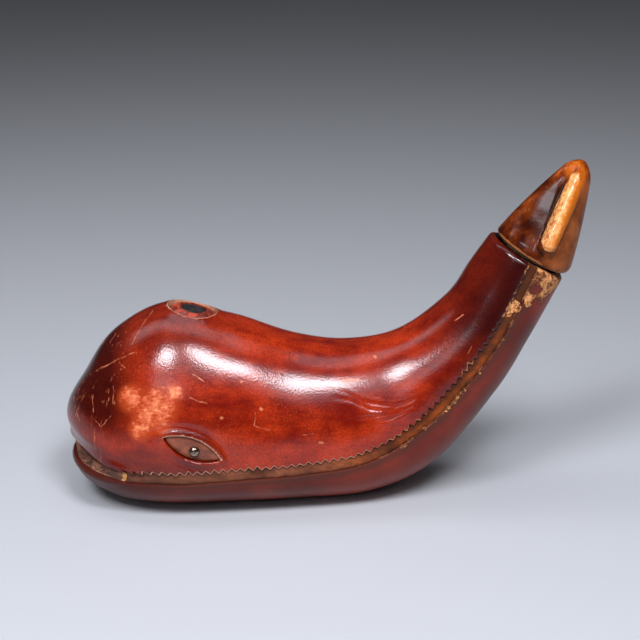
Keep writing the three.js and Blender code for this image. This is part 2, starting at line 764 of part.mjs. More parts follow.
const stopper = new THREE.Group();
stopper.applyMatrix4(neck);
stopper.add(
  piece("stopper_core", core, TURNED_WOOD, 0.7),
  piece("stopper_cover", cover, VARNISHED, 0.3),
  piece("stopper_washer", washer, DARK_HIDE, 0.6),
  piece("stopper_cork", cork, CORK_TAN, 0.9),
  piece("stopper_dowel", dowel, TURNED_WOOD, 0.7),
);
decanter.add(stopper);

export default decanter;
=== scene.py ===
# The frame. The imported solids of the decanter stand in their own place, and every finished piece is
# made round them and keeps to their box.
import math

import bpy
import numpy as np
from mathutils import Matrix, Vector


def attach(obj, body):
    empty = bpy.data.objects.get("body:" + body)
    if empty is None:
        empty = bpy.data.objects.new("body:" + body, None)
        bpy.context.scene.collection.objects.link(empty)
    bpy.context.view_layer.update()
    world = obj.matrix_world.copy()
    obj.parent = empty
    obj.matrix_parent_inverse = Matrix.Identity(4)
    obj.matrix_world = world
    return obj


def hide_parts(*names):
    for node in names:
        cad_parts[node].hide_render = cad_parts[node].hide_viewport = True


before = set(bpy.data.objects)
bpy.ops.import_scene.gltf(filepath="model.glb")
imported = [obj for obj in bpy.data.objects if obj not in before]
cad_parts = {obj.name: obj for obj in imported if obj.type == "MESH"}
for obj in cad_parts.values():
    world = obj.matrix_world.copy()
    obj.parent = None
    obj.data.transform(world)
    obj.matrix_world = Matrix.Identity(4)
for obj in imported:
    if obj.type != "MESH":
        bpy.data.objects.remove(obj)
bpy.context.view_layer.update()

# The table and the light. The decanter lies on a plain pale table top in a grey room, seen from its left
# side and a little above. Two soft boxes, a wide sheet and a low fill light it from the front, a long box
# from over its nose and another from the ceiling.
ROOM_LOW = 0.028
ROOM_CLIMB = 0.042
TABLE_HALF = 4.0
view = bpy.context.scene
view.view_settings.view_transform = "Standard"


class Tone:
    """A socket of a finish's nodes. Arithmetic on it adds Math nodes."""

    def __init__(self, tree, socket=None):
        self.tree = tree
        self.socket = socket

    def node(self, kind, settings, inputs, output=0):
        made = self.tree.nodes.new("ShaderNode" + kind)
        for name, value in settings.items():
            setattr(made, name, value)
        for name, value in inputs.items():
            if isinstance(value, Tone):
                self.tree.links.new(value.socket, made.inputs[name])
            else:
                made.inputs[name].default_value = value
        return Tone(self.tree, made.outputs[output])

    def maths(self, operation, first, second):
        return self.node("Math", {"operation": operation}, {0: first, 1: second})

    def __add__(self, other):
        return self.maths("ADD", self, other)

    def __sub__(self, other):
        return self.maths("SUBTRACT", self, other)

    def __rsub__(self, other):
        return self.maths("SUBTRACT", other, self)

    def __mul__(self, other):
        return self.maths("MULTIPLY", self, other)

    __radd__ = __add__
    __rmul__ = __mul__

    def __abs__(self):
        return self.maths("ABSOLUTE", self, 0.0)

    def least(self, other):
        return self.maths("MINIMUM", self, other)

    def most(self, other):
        return self.maths("MAXIMUM", self, other)

    def climb(self, low, high):
        """0 below low and 1 above high, with a soft slope between."""
        settings = {"interpolation_type": "SMOOTHSTEP"}
        return self.node("MapRange", settings, {"Value": self, "From Min": low, "From Max": high})

    def fall(self, low, high):
        return 1 - self.climb(low, high)

    def noise(self, scale, detail=3.0, roughness=0.55):
        inputs = {"Vector": self, "Scale": scale, "Detail": detail, "Roughness": roughness}
        return self.node("TexNoise", {}, inputs)

    def cells(self, scale):
        inputs = {"Vector": self, "Scale": scale, "Smoothness": 0.4}
        return self.node("TexVoronoi", {"feature": "SMOOTH_F1"}, inputs)

    def stretched(self, x, y, z):
        return self.node("VectorMath", {"operation": "MULTIPLY"}, {0: self, 1: (x, y, z)})

    def over(self, first, second):
        """The mix of two colours with this value as the share of the second."""
        first, second = ((*c, 1.0) if isinstance(c, tuple) else c for c in (first, second))
        return self.node("Mix", {"data_type": "RGBA"}, {0: self, 6: first, 7: second}, 2)

    def mark(self, name):
        """A value kept on the points of the mesh."""
        return self.node("Attribute", {"attribute_name": name}, {}, "Fac")

    def part(self, axis):
        return self.node("SeparateXYZ", {}, {0: self}, axis)


room = bpy.data.worlds.new("grey_room")
room.use_nodes = True
backdrop = room.node_tree.nodes["Background"]
backdrop.inputs["Color"].default_value = (0.92, 0.95, 1.0, 1.0)
room_height = Tone(room.node_tree).node("TexCoord", {}, {}, "Generated").part("Z")
room_light = ROOM_LOW + ROOM_CLIMB * room_height.climb(0.0, 0.6)
room.node_tree.links.new(room_light.socket, backdrop.inputs["Strength"])
view.world = room

lens = bpy.data.cameras.new("viewpoint")
lens.angle = math.radians(25)
viewer = bpy.data.objects.new("viewpoint", lens)
viewer.location = (-0.0013, -0.7848, 0.3748)
viewer.rotation_euler = (math.radians(71), 0, 0)
view.collection.objects.link(viewer)
view.camera = viewer
lamp_aim = Vector((0, 0, 0.08))


def soft_box(name, azimuth, elevation, away, wide, tall, watts):
    """An area lamp aimed at the decanter. Azimuth 0 is straight in front of its left side."""
    lamp = bpy.data.lights.new(name, "AREA")
    lamp.shape = "RECTANGLE"
    lamp.size = wide
    lamp.size_y = tall
    lamp.energy = watts
    lamp.color = (0.91, 0.93, 1.0)
    turn = math.radians(azimuth)
    lift = math.radians(elevation)
    towards = Vector((math.sin(turn) * math.cos(lift), -math.cos(turn) * math.cos(lift), math.sin(lift)))
    holder = bpy.data.objects.new(name, lamp)
    holder.location = lamp_aim + away * towards
    holder.rotation_euler = towards.to_track_quat("Z", "Y").to_euler()
    view.collection.objects.link(holder)


soft_box("front_left_box", -27, 47, 1.2, 0.36, 0.29, 10.5)
soft_box("front_right_box", 21, 53, 1.2, 0.36, 0.28, 11.0)
soft_box("front_sheet", -4, 50, 1.5, 1.4, 0.75, 5.0)
soft_box("ceiling_box", 0, 92, 1.3, 0.9, 0.5, 3.0)
soft_box("nose_box", -100, 56, 1.2, 0.3, 0.7, 1.5)
soft_box("low_fill", -18, 27, 1.8, 0.8, 0.3, 2.4)

table_mesh = bpy.data.meshes.new("table_top")
table_corners = [(-1, -1), (1, -1), (1, 1), (-1, 1)]
table_mesh.from_pydata([(x * TABLE_HALF, y * TABLE_HALF, 0) for x, y in table_corners], [], [(0, 1, 2, 3)])
table = bpy.data.objects.new("table_top", table_mesh)
table_finish = bpy.data.materials.new("pale_table")
table_finish.use_nodes = True
table_shader = table_finish.node_tree.nodes["Principled BSDF"]
table_shader.inputs["Base Color"].default_value = (0.45, 0.46, 0.48, 1.0)
table_shader.inputs["Roughness"].default_value = 0.75
table_mesh.materials.append(table_finish)
view.collection.objects.link(table)

# The glass flask. A whale blown in clear glass about 4.5 mm thick, with its neck drawn up at the tail.
# Hides are glued all over it, so that it shows only inside the neck while the stopper is out.
MM = 0.001
UPPER = 1
LOWER = -1
HIDE = 2.8
GLUE = 0.6
NOSE_GLUE = 0.8
GLASS = 4.5
FIT = 0.3
NECK_RADIUS = 24.0
BELLY_EDGE = 4.5
MOUTH_PINCH = 0.85
NOSE_REACH = 2
BORE_START = 0.6
FLASK_STEPS = 96
SHORT_STEP = 0.01
CORK_RADIUS = 16.4
CORK_TAPER = 1.2
CORK_LENGTH = 26.0
SHARP_EDGE = math.radians(50)
neck_tilt = math.radians(60)
neck_axis = np.array([math.cos(neck_tilt), 0, math.sin(neck_tilt)])
neck_front = np.array([math.sin(neck_tilt), 0, -math.cos(neck_tilt)])
rim_centre = np.array([116.0, 0, 144.5])
rim_top = rim_centre - NECK_RADIUS * neck_front
rim_bottom = rim_centre + NECK_RADIUS * neck_front
LAST = 11


def line_through(points):
    """A smooth line through points, by station from the first one."""
    points = np.array(points, float)
    padded = np.vstack([2 * points[0] - points[1], points, 2 * points[-1] - points[-2]])

    def at(station):
        station = np.asarray(station, float)
        first = np.clip(np.floor(station).astype(int), 0, len(points) - 2)
        gone = (station - first)[..., None]
        a, b, c, d = (padded[first + n] for n in range(4))
        bend = 3 * (b - c) + d - a
        return b + 0.5 * gone * (c - a + gone * (2 * a - 5 * b + 4 * c - d + gone * bend))

    return at


crown_at = line_through([
    (-147, 31.5), (-149.3, 52), (-138, 73.5), (-119.5, 99), (-88, 114.5), (-52, 107), (-15, 95), (15, 92),
    (43.5, 98), (70, 118), (83, 138), (rim_top[0], rim_top[2])])
belly_at = line_through([
    (-147, 31.5), (-143.5, 16.5), (-129.5, 6), (-114, 0), (-88, -2), (-52, -2), (-13, -1), (31, 2.5),
    (67.5, 21), (101, 64), (118.5, 95.5), (rim_bottom[0], rim_bottom[2])])
seam_at = line_through([
    (-111, 46.5, 28.8), (-103, 48, 28.2), (-96, 49.8, 28.3), (-88, 51, 28.3), (-76, 52, 28.5),
    (-45, 50, 30.3), (-11, 46, 31.8), (24.5, 41, 37), (56.5, 36, 56), (86.5, 31, 89.5), (102.3, 27, 115),
    (rim_centre[0], NECK_RADIUS, rim_centre[2])])


def section(half, station):
    """A section's point on the seam, and the arm from it to the line of the crown or the belly."""
    seam = seam_at(station)
    return seam, (crown_at if half == UPPER else belly_at)(station) - seam[..., [0, 2]]


def rise(half, station):
    """How far a section's arc rises square to the run of the seam."""
    arm = section(half, station)[1]
    run = seam_at(np.minimum(station + SHORT_STEP, LAST)) - seam_at(np.maximum(station - SHORT_STEP, 0))
    length = np.hypot(run[..., 0], run[..., 2])
    return half * (arm[..., 1] * run[..., 0] - arm[..., 0] * run[..., 2]) / length


def pinch(half, station, angle):
    """Share of a section's width lost where the lip line is drawn in above the jaw's edge."""
    nose = np.maximum(0, 1 - station / NOSE_REACH) ** 2
    height = (rise(half, station) - rise(half, 0.0)) * np.sin(angle)
    jaw = np.maximum(0, 1 - height / BELLY_EDGE)
    return MOUTH_PINCH * (nose if half == UPPER else jaw) * np.sin(angle) ** 2


def skin(half, station, angle, depth=0.0):
    """Points below the leather's outer face. The angle goes over each half from the left to the right."""
    station, angle, depth = np.broadcast_arrays(*(np.asarray(v, float) for v in (station, angle, depth)))
    seam, arm = section(half, station)
    share = np.sin(angle) * (1 - depth / np.linalg.norm(arm, axis=-1))
    z = seam[..., 2] + arm[..., 1] * share
    if half == LOWER:
        z = np.maximum(z, depth)
    y = -(seam[..., 1] * (1 - pinch(half, station, angle)) - depth) * np.cos(angle)
    return np.stack([seam[..., 0] + arm[..., 0] * share, y, z], -1)


def full_turn(steps):
    return np.linspace(0, 2 * np.pi, steps, endpoint=False)


def numbered(rows, columns):
    """The numbers of points that lie in rows."""
    return np.arange(rows * columns).reshape(rows, columns)


def grid_faces(index):
    """Four-cornered faces over a grid of point numbers."""
    corners = [index[:-1, :-1], index[1:, :-1], index[1:, 1:], index[:-1, 1:]]
    return np.stack(corners, -1).reshape(-1, 4)


def lathe_faces(rings, steps):
    """Faces of rings of points that go round, from the first ring to the last."""
    index = numbered(rings, steps)
    return grid_faces(np.hstack([index, index[:, :1]]))


def fan(ring, middle):
    """Faces from a ring of points to the one in its middle."""
    middle = np.full(len(ring), middle)
    return np.stack([ring, np.roll(ring, -1), middle, middle], -1)


def add_piece(name, points, faces, finish, body, node, slot):
    """A mesh of points in millimetres that rides on a body and stands for a solid of the frame."""
    used, corners = np.unique(faces, return_inverse=True)
    rows = [tuple(dict.fromkeys(row)) for row in corners.reshape(faces.shape).tolist()]
    mesh = bpy.data.meshes.new(name)
    mesh.from_pydata((points[used] * MM).tolist(), [], [row for row in rows if len(row) > 2])
    mesh.shade_smooth()
    mesh.set_sharp_from_angle(angle=SHARP_EDGE)
    mesh.materials.append(finish.material)
    piece = bpy.data.objects.new(name, mesh)
    view.collection.objects.link(piece)
    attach(piece, body)
    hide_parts(node)
    return piece, used


class Finish:
    """A material: the place of a point on its piece, a tone painted in layers, and the shader they feed."""

    def __init__(self, name, plain):
        self.material = bpy.data.materials.new(name)
        self.material.use_nodes = True
        self.shader = self.material.node_tree.nodes["Principled BSDF"]
        for socket, value in plain.items():
            self.shader.inputs[socket].default_value = value
        self.place = Tone(self.material.node_tree).node("TexCoord", {}, {}, "Object")
        self.tone = None

    def paint(self, share, colour):
        """Lays a colour or another tone over the tone so far."""
        self.tone = share.over(self.tone, colour)

    def feed(self, socket, tone):
        self.material.node_tree.links.new(tone.socket, self.shader.inputs[socket])

    def surface(self, height, depth, roughness=None):
        """Feeds the tone, relief from a height of 0 to 1 with its depth in millimetres, and roughness."""
        self.feed("Base Color", self.tone)
        self.feed("Normal", height.node("Bump", {}, {"Height": height, "Distance": depth * MM}))
        if roughness:
            self.feed("Roughness", roughness)


glass = Finish("clear_glass", {"Transmission Weight": 1.0, "IOR": 1.5, "Roughness": 0.03})
ripple = glass.place.noise(40, 2)
glass.tone = ripple.over((0.80, 0.90, 0.85), (0.92, 0.96, 0.94))
glass.surface(ripple, 0.3)

flask_rows = np.linspace(0, LAST, 89)
flask_depth = HIDE + GLUE
round_turn = full_turn(FLASK_STEPS)
lower_side = round_turn > np.pi


def flask_ring(station, depth):
    upper = skin(UPPER, station, round_turn, depth)
    lower = skin(LOWER, station, 2 * np.pi - round_turn, depth)
    return np.where(lower_side[:, None], lower, upper)


flask_rings = [flask_ring(station, flask_depth + NOSE_GLUE * max(0, 1 - station)) for station in flask_rows]
bore_rows = flask_rows[flask_rows > BORE_START][::-1]
flask_rings += [flask_ring(station, flask_depth + GLASS) for station in bore_rows]
flask_points = np.vstack(flask_rings)
inside_start = len(flask_rows) * FLASK_STEPS
inside = flask_points[inside_start:] - rim_centre
below_rim = -inside @ neck_axis
spoke = inside + below_rim[:, None] * neck_axis
reach = np.linalg.norm(spoke, axis=1)
seat_slope = CORK_TAPER / CORK_LENGTH
seat_reach = CORK_RADIUS + FIT - seat_slope * below_rim
wider = np.where(below_rim < CORK_LENGTH, np.maximum(reach, seat_reach), reach) / reach
flask_points[inside_start:] = rim_centre - below_rim[:, None] * neck_axis + spoke * wider[:, None]
nose_ring = np.arange(FLASK_STEPS)
bore_ring = nose_ring + len(flask_points) - FLASK_STEPS
flask_faces = np.vstack([
    lathe_faces(len(flask_rings), FLASK_STEPS), fan(nose_ring, len(flask_points)),
    fan(bore_ring[::-1], len(flask_points) + 1)])
flask_points = np.vstack([flask_points, flask_rings[0].mean(0), flask_rings[-1].mean(0)])
add_piece("blown_flask", flask_points, flask_faces, glass, "body", "glass_flask", "glass")

# The belly. One smooth dark hide is wet-formed round the underside from the jaw to the neck and glued
# to the glass. Its edge lies a little below the seam and is rounded over along the jaw.
MOUTH_TURN = math.radians(36)
MOUTH_ROWS = 4
BELLY_STEP = 1.6
BELLY_COLUMNS = 112
BELLY_CROWDING = 0.75
STANDING_HEIGHT = 0.4
JAW_END = 1.6
JAW_ROLL = 1.2
EDGE_TUCK = 0.3
BELLY_RIM_TUCK = 0.8


def station_of_rise(half, height):
    """The station near the mouth where a section's arc rises to a height."""
    stations = np.linspace(0, 2, 2001)
    return np.interp(height, rise(half, stations), stations)


def lengths_along(points):
    """The way gone at each point of a line."""
    return np.concatenate([[0], np.cumsum(np.linalg.norm(np.diff(points, axis=0), axis=1))])


def even_rows(half, edge, step):
    """Stations at even steps along a hide's edge, from the side of the mouth to the rim."""
    start = float(station_of_rise(half, edge / math.sin(MOUTH_TURN)))
    fine = np.linspace(start, LAST, 4000)
    gone = lengths_along(skin(half, fine, np.arcsin(edge / rise(half, fine))))
    return np.interp(np.linspace(0, gone[-1], round(gone[-1] / step) + 1), gone, fine)


def hide_grid(half, edge, rows, across):
    """Stations, angles and point numbers of a hide: a few rows round the mouth, then one at each station."""
    turn = MOUTH_TURN + (np.pi - 2 * MOUTH_TURN) * across
    lip = station_of_rise(half, edge / np.sin(turn))
    stations = [lip + (rows[0] - lip) * n / MOUTH_ROWS for n in range(MOUTH_ROWS)]
    angles = [turn] * MOUTH_ROWS
    for station in rows:
        side = math.asin(edge / float(rise(half, station)))
        stations.append(np.full(len(across), station))
        angles.append(side + (np.pi - 2 * side) * across)
    index = numbered(len(stations), len(across))
    index[:MOUTH_ROWS, 0] = index[MOUTH_ROWS, 0]
    index[:MOUTH_ROWS, -1] = index[MOUTH_ROWS, -1]
    return np.array(stations), np.array(angles), index


def skin_ways(half, station, angle, step):
    """How the skin runs on from one side of a point to the other, along the whale and round it."""
    after = np.minimum(station + step, LAST)
    before = np.maximum(station - step, 0)
    along = skin(half, after, angle) - skin(half, before, angle)
    return along, skin(half, station, angle + step) - skin(half, station, angle - step)


def outward(half, station, angle):
    """Directions out of the skin."""
    out = half * np.cross(*skin_ways(half, station, angle, SHORT_STEP))
    return out / np.linalg.norm(out, axis=-1, keepdims=True)


def free_edges(faces, count):
    """First and second points of the edges that only one face has."""
    edges = np.stack([faces.ravel(), np.roll(faces, -1, axis=1).ravel()], -1)
    edges = edges[edges[:, 0] != edges[:, 1]]
    return edges[~np.isin(edges[:, 0] * count + edges[:, 1], edges[:, 1] * count + edges[:, 0])].T


def add_sheet(name, outer, inner, faces, finish, body, node, slot, **marks):
    """A piece with an outer and an inner face and walls along its free edges. The marks are values at the
    points that its finish reads, given once for both faces."""
    count = outer.size // 3
    a, b = free_edges(faces, count)
    walls = np.stack([b, a, a + count, b + count], -1)
    points = np.vstack([outer.reshape(-1, 3), inner.reshape(-1, 3)])
    closed = np.vstack([faces, faces[:, ::-1] + count, walls])
    piece, used = add_piece(name, points, closed, finish, body, node, slot)
    for mark, values in marks.items():
        layer = piece.data.attributes.new(mark, "FLOAT", "POINT")
        layer.data.foreach_set("value", np.tile(values.ravel(), 2)[used].astype(np.float32))


def swell(distance, width):
    return np.exp(-(distance / width) ** 2)


def ramp(value, start, width):
    """0 up to a start and 1 beyond a width from it."""
    return np.clip((value - start) / width, 0, 1)


def over_edge(half, edge, station, angle):
    """Height of points above a hide's edge line, measured along the skin."""
    return rise(half, station) * np.sin(np.minimum(angle, np.pi - angle)) - edge


def rim_round(points, radius):
    """How far the leather turns down close to the rim of the neck."""
    back = np.clip((rim_centre - points) @ neck_axis, 0, radius)
    return radius - np.sqrt(radius ** 2 - (radius - back) ** 2)


belly_rows = even_rows(LOWER, BELLY_EDGE, BELLY_STEP)
belly_across = np.linspace(0, 1, BELLY_COLUMNS + 1)
belly_across = belly_across - BELLY_CROWDING * np.sin(2 * np.pi * belly_across) / (2 * np.pi)
belly_station, belly_angle, belly_index = hide_grid(LOWER, BELLY_EDGE, belly_rows, belly_across)
belly_skin = skin(LOWER, belly_station, belly_angle)
belly_height = over_edge(LOWER, BELLY_EDGE, belly_station, belly_angle)
belly_height[:MOUTH_ROWS] = np.maximum(belly_height[:MOUTH_ROWS], 0)
jaw_share = np.clip(JAW_END - belly_station, 0, 1)
belly_lift = JAW_ROLL * jaw_share * swell(belly_height - 2.0, 2.2) - EDGE_TUCK * swell(belly_height, 0.6)
belly_lift -= BELLY_RIM_TUCK * rim_round(belly_skin, 2.4)
belly_lift = np.where(belly_skin[..., 2] > STANDING_HEIGHT, belly_lift, np.minimum(belly_lift, 0))
belly_out = belly_skin + belly_lift[..., None] * outward(LOWER, belly_station, belly_angle)
belly_out[..., 2] = np.maximum(belly_out[..., 2], 0)
belly_in = skin(LOWER, belly_station, belly_angle, HIDE)


def tear(place):
    """Where the grain layer is torn off, a dark rim round that painted as the shadow of the lifted flakes,
    and the colour of the bare flesh.
    """
    inputs = {"Vector": place, "Scale": 130, "Detail": 8, "Roughness": 0.74, "Distortion": 1.0}
    flakes = place.node("TexNoise", {}, inputs)
    depth = place.mark("torn").least(0.72) + 2.4 * (flakes - 0.5)
    bare = depth.climb(0.55, 0.61)
    fibre = 0.45 * place.noise(150, 4) + 0.55 * place.noise(520, 6, 0.75)
    flesh = fibre.climb(0.41, 0.57).over((0.12, 0.028, 0.007), (0.76, 0.33, 0.12))
    crack = abs(place.noise(230, 6, 0.75) - 0.5).fall(0.0, 0.035)
    return bare, depth.climb(0.42, 0.53) - bare, (0.8 * crack).over(flesh, (0.040, 0.010, 0.004))


belly = Finish("dark_belly_leather", {"Specular IOR Level": 0.2})
spot = belly.place
belly.tone = spot.noise(22, 4).climb(0.35, 0.68).over((0.105, 0.013, 0.008), (0.22, 0.027, 0.014))
near_seam = (spot.mark("near") + 0.9 * (spot.noise(75, 5, 0.65) - 0.5)).climb(0.3, 0.9)
belly.paint(0.75 * near_seam, (0.070, 0.022, 0.014))
belly.paint(0.85 * spot.part("X").fall(-0.11, -0.07), (0.055, 0.009, 0.006))
fleck = spot.noise(260, 3).climb(0.66, 0.74) * spot.noise(45, 2).climb(0.5, 0.62)
belly.paint(0.6 * fleck, (0.30, 0.12, 0.06))
torn, tear_shadow_rim, flesh = tear(spot)
# Painted shadow: a dark rim round each tear.
belly.paint(0.8 * tear_shadow_rim, (0.020, 0.006, 0.004))
belly.paint(torn, flesh)
edge_worn = (spot.mark("edge") * spot.noise(130, 4, 0.65)).climb(0.46, 0.6)
belly.paint(0.6 * edge_worn, (0.28, 0.10, 0.05))
grain = 0.4 * spot.cells(760) + 0.5 * spot.noise(300, 3)
belly.surface(grain + torn * (2.0 * spot.noise(330, 5, 0.65) - 2.2), 0.16,
              0.24 + 0.16 * spot.noise(90, 3) + 0.3 * torn + 0.2 * fleck)

neck_tears = [(122, -22, 138, 9), (131, -14, 133, 9), (127, -18, 130, 7), (121, -21, 125, 6),
              (115, -23, 124, 6), (107, -26, 121, 6), (103, -27, 118, 5)]


def blobs(points, places):
    """1 at the middle of each soft blob and 0 outside it. A blob is x, y, z and a radius in millimetres."""
    value = np.zeros(points.shape[:-1])
    for x, y, z, radius in places:
        away = np.linalg.norm(points - np.array([x, y, z]), axis=-1) / radius
        value = np.maximum(value, 1 - away ** 2)
    return value


def tear_mark(points, from_band):
    """How likely the grain is to be torn: most at the front of the neck, less along the seam below it."""
    along = 0.5 * ramp(points[..., 0], 15, 40) * swell(from_band, 2.2)
    return np.maximum(blobs(points, neck_tears), along)


add_sheet("belly_leather", belly_out, belly_in, grid_faces(belly_index)[:, ::-1], belly,
          "body", "belly_hide", "dark_leather", torn=tear_mark(belly_skin, belly_height),
          edge=swell(belly_height, 1.1) * ramp(belly_skin[..., 0], -60, 80),
          near=swell(belly_height, 5) * ramp(belly_skin[..., 0], -112, 20))

# The seam bands and the mouth. Narrow strips of matte split leather close the joint between the hides,
# one along each flank under the pinked edge, and one sunk between the lips.
UPPER_EDGE = 1.6
SKIVE = 1.0
SKIVE_WIDTH = 7.0
LAP_START = 1.1
MOUTH_REACH = 62.0
MOUTH_DEPTH = 1.9
BAND_STEP = 1.3
MOUTH_STEPS = 100
strip_heights = np.array([-4.35, -4.0, -3.4, -2.7, -1.9, -1.1, -0.4, 0.3, 1.0, 1.6, 2.4, 3.3, 4.2])


def seam_path(height):
    """A line at a height from the seam, from the middle of the mouth to the rim, by its length."""
    half = UPPER if height > 0 else LOWER
    edge = abs(height)
    turn = np.linspace(np.pi / 2, MOUTH_TURN, 60)
    lip = station_of_rise(half, edge / np.sin(turn))
    side = lip[-1] + (LAST - lip[-1]) * np.linspace(0, 1, 1500)[1:] ** 2
    stations = np.concatenate([lip, side])
    angles = np.concatenate([turn, np.arcsin(np.minimum(edge / rise(half, side), 1))])
    return half, lengths_along(skin(half, stations, angles)), stations, angles


def hide_thickness(height):
    """Thickness of the upper hide, pared thin towards its edge."""
    return SKIVE + (HIDE - SKIVE) * ramp(height, UPPER_EDGE, SKIVE_WIDTH)


seam_length = seam_path(0.05)[1][-1]
mouth_corner = MOUTH_REACH / seam_length


def add_strip(name, shares, depth_at, finish, node):
    """A strip along the seam, by shares of the way from the mouth's middle to the rim, above 0 on the right.
    The depth of its outer face goes by share and height."""
    side = np.where(shares[:, None] > 0, -1, 1) * np.array([0, 1, 0]) + np.array([1, 0, 1])
    outer = []
    inner = []
    for height in strip_heights:
        half, lengths, stations, angles = seam_path(height)
        target = np.abs(shares) * lengths[-1]
        station = np.interp(target, lengths, stations)
        angle = np.interp(target, lengths, angles)
        under_hide = hide_thickness(height) + FIT if height > LAP_START else 0
        depth = np.maximum(depth_at(shares, height), under_hide)
        outer.append(skin(half, station, angle, depth) * side)
        inner.append(skin(half, station, angle, HIDE) * side)
    outer = np.stack(outer, 1)
    size = outer.shape[:2]
    index = numbered(*size)
    level = np.broadcast_to(strip_heights, size)
    from_edge = level - strip_heights[0]
    add_sheet(name, outer, np.stack(inner, 1), grid_faces(index if shares[0] > shares[-1] else index[::-1]),
              finish, "body", node, "brown_leather", level=level, torn=tear_mark(outer, from_edge),
              edge=swell(from_edge, 1.2) * ramp(outer[..., 0], -40, 80),
              end=np.broadcast_to(swell(np.abs(shares) - mouth_corner, 0.011)[:, None], size))


split = Finish("brown_split_leather", {"Specular IOR Level": 0.15})
spot = split.place
way_back = spot.part("X")
cloud = spot.noise(55, 5, 0.6)
split.tone = cloud.climb(0.3, 0.7).over((0.090, 0.026, 0.013), (0.30, 0.095, 0.045))
tail_tone = cloud.climb(0.36, 0.64).over((0.070, 0.014, 0.002), (0.26, 0.050, 0.005))
split.paint(way_back.climb(-0.03, 0.06), tail_tone)
towards_neck = way_back.climb(0.0, 0.07)
level = spot.mark("level") + 1.6 * (spot.noise(130, 4, 0.65) - 0.5)
# Painted shade: the band is darkened along its top towards the neck, under the pinked edge of the upper hide.
split.paint(0.75 * towards_neck * level.climb(-1.8, 1.2), (0.030, 0.007, 0.003))
split.paint(0.8 * towards_neck * level.fall(-4.4, -3.2), (0.10, 0.018, 0.010))
split.paint(0.6 * way_back.climb(0.08, 0.11), (0.050, 0.014, 0.004))
streak = spot.stretched(0.3, 1, 1).noise(110, 5, 0.65).climb(0.46, 0.62)
split.paint(0.55 * streak, (0.045, 0.013, 0.006))
split.paint(0.45 * spot.noise(700, 2).climb(0.58, 0.7), (0.06, 0.022, 0.013))
split.paint(0.6 * way_back.fall(-0.09, -0.03), (0.060, 0.025, 0.016))
torn, tear_shadow_rim, flesh = tear(spot)
# Painted shadow: a dark rim round each tear.
split.paint(0.7 * tear_shadow_rim, (0.020, 0.006, 0.004))
chip = (spot.mark("edge") * spot.noise(140, 3)).climb(0.4, 0.5)
split.paint(torn.most(0.8 * chip), flesh)
split.surface(spot.noise(520, 4) + 0.5 * spot.noise(150, 3) - 0.6 * torn, 0.3, 0.5 + 0.2 * cloud)

band_shares = np.linspace(mouth_corner, 1, round((1 - mouth_corner) * seam_length / BAND_STEP))


def band_depth(shares, height):
    wave = 0.12 * np.sin(210 * shares) + 0.08 * np.sin(97 * shares + 1)
    return SKIVE + FIT - 0.45 * swell(height + 2.6, 1.8) + 0.2 * swell(height + 4.35, 0.3) + wave


add_strip("flank_band_left", -band_shares, band_depth, split, "seam_band_left")
add_strip("flank_band_right", band_shares, band_depth, split, "seam_band_right")

lip = Finish("cracked_lip_leather", {"Specular IOR Level": 0.4})
spot = lip.place
cloud = spot.noise(70, 4)
lip.tone = cloud.climb(0.35, 0.66).over((0.085, 0.034, 0.022), (0.26, 0.105, 0.058))
crack = abs(spot.stretched(1, 1, 3).noise(110, 4) - 0.5).fall(0.0, 0.03)
lip.paint(0.8 * crack, (0.015, 0.006, 0.005))
bare_end = (spot.mark("end") + 1.5 * (spot.noise(260, 6, 0.7) - 0.5)).climb(0.5, 0.62)
lip.paint(bare_end, (0.66, 0.30, 0.10))
lip.surface(spot.noise(260, 4) - 0.6 * crack, 0.5, 0.45 + 0.2 * cloud)

mouth_end = mouth_corner - FIT / seam_length


def mouth_depth(shares, height):
    wave = 0.16 * np.sin(75 * shares + height) + 0.1 * np.sin(190 * shares)
    return MOUTH_DEPTH + wave * (abs(height) < 3) - 0.8 * swell(height + 1.6, 1.8)


add_strip("lip_strip", np.linspace(-mouth_end, mouth_end, MOUTH_STEPS), mouth_depth, lip, "mouth_strip")

# The upper hide. One glossy oxblood hide is wet-formed over the back from the lip to the neck, glued
# down, and pinked with shears along both flanks. Slits for the eyes and a blowhole are cut through it.
TOOTH_PITCH = 4.8
TOOTH_DEPTH = 2.2
TOOTH_ROWS = 4
NOTCH_REACH = 7
EYE_LENGTH = 35.0
EYE_HEIGHT = 12.5
EYE_SIDE = 20
BLOWHOLE_RADIUS = 14.1
BLOWHOLE_BELOW = 12
OPENING_REACH = 3
FAR_OFF = 99
HALF_COLUMNS = 80
EDGE_CROWDING = 0.62
WOBBLE = 0.0026
TOOTH_VARIES = 0.16
TOOTH_FADES = 0.8
UPPER_LID_CREASE = 0.5
LOWER_LID_CREASE = 0.4
BLOWHOLE_RISE = 0.7
LIP_END = 2.4
LIP_ROLL = 0.9
LIP_CREASE = 0.3
UPPER_RIM_TUCK = 0.9
FOLD_DEPTH = 0.65
FOLD_RIDGE = 0.2
UNEVEN = 0.18
eye_spot = (4.22, math.radians(11.5))
blowhole_spot = (4.4, math.pi / 2)
mirror = np.array([1, -1, 1])
rng = np.random.default_rng(7)


def place_on(spot, tilt):
    """A place on the upper skin: its middle, its long way, its way up and its way out."""
    along = skin_ways(UPPER, *spot, SHORT_STEP)[0]
    along /= np.linalg.norm(along)
    out = outward(UPPER, *spot)
    long = along * math.cos(tilt) + np.cross(out, along) * math.sin(tilt)
    return skin(UPPER, *spot), long, np.cross(out, long), out


eye_place = place_on(eye_spot, math.radians(-24))
eye_middle, eye_long, eye_up, eye_face = eye_place
hole_place = place_on(blowhole_spot, 0)
hole_middle, hole_long, hole_up, hole_face = hole_place
eye_arc = (EYE_LENGTH ** 2 + EYE_HEIGHT ** 2) / (4 * EYE_HEIGHT)
eye_drop = eye_arc - EYE_HEIGHT / 2


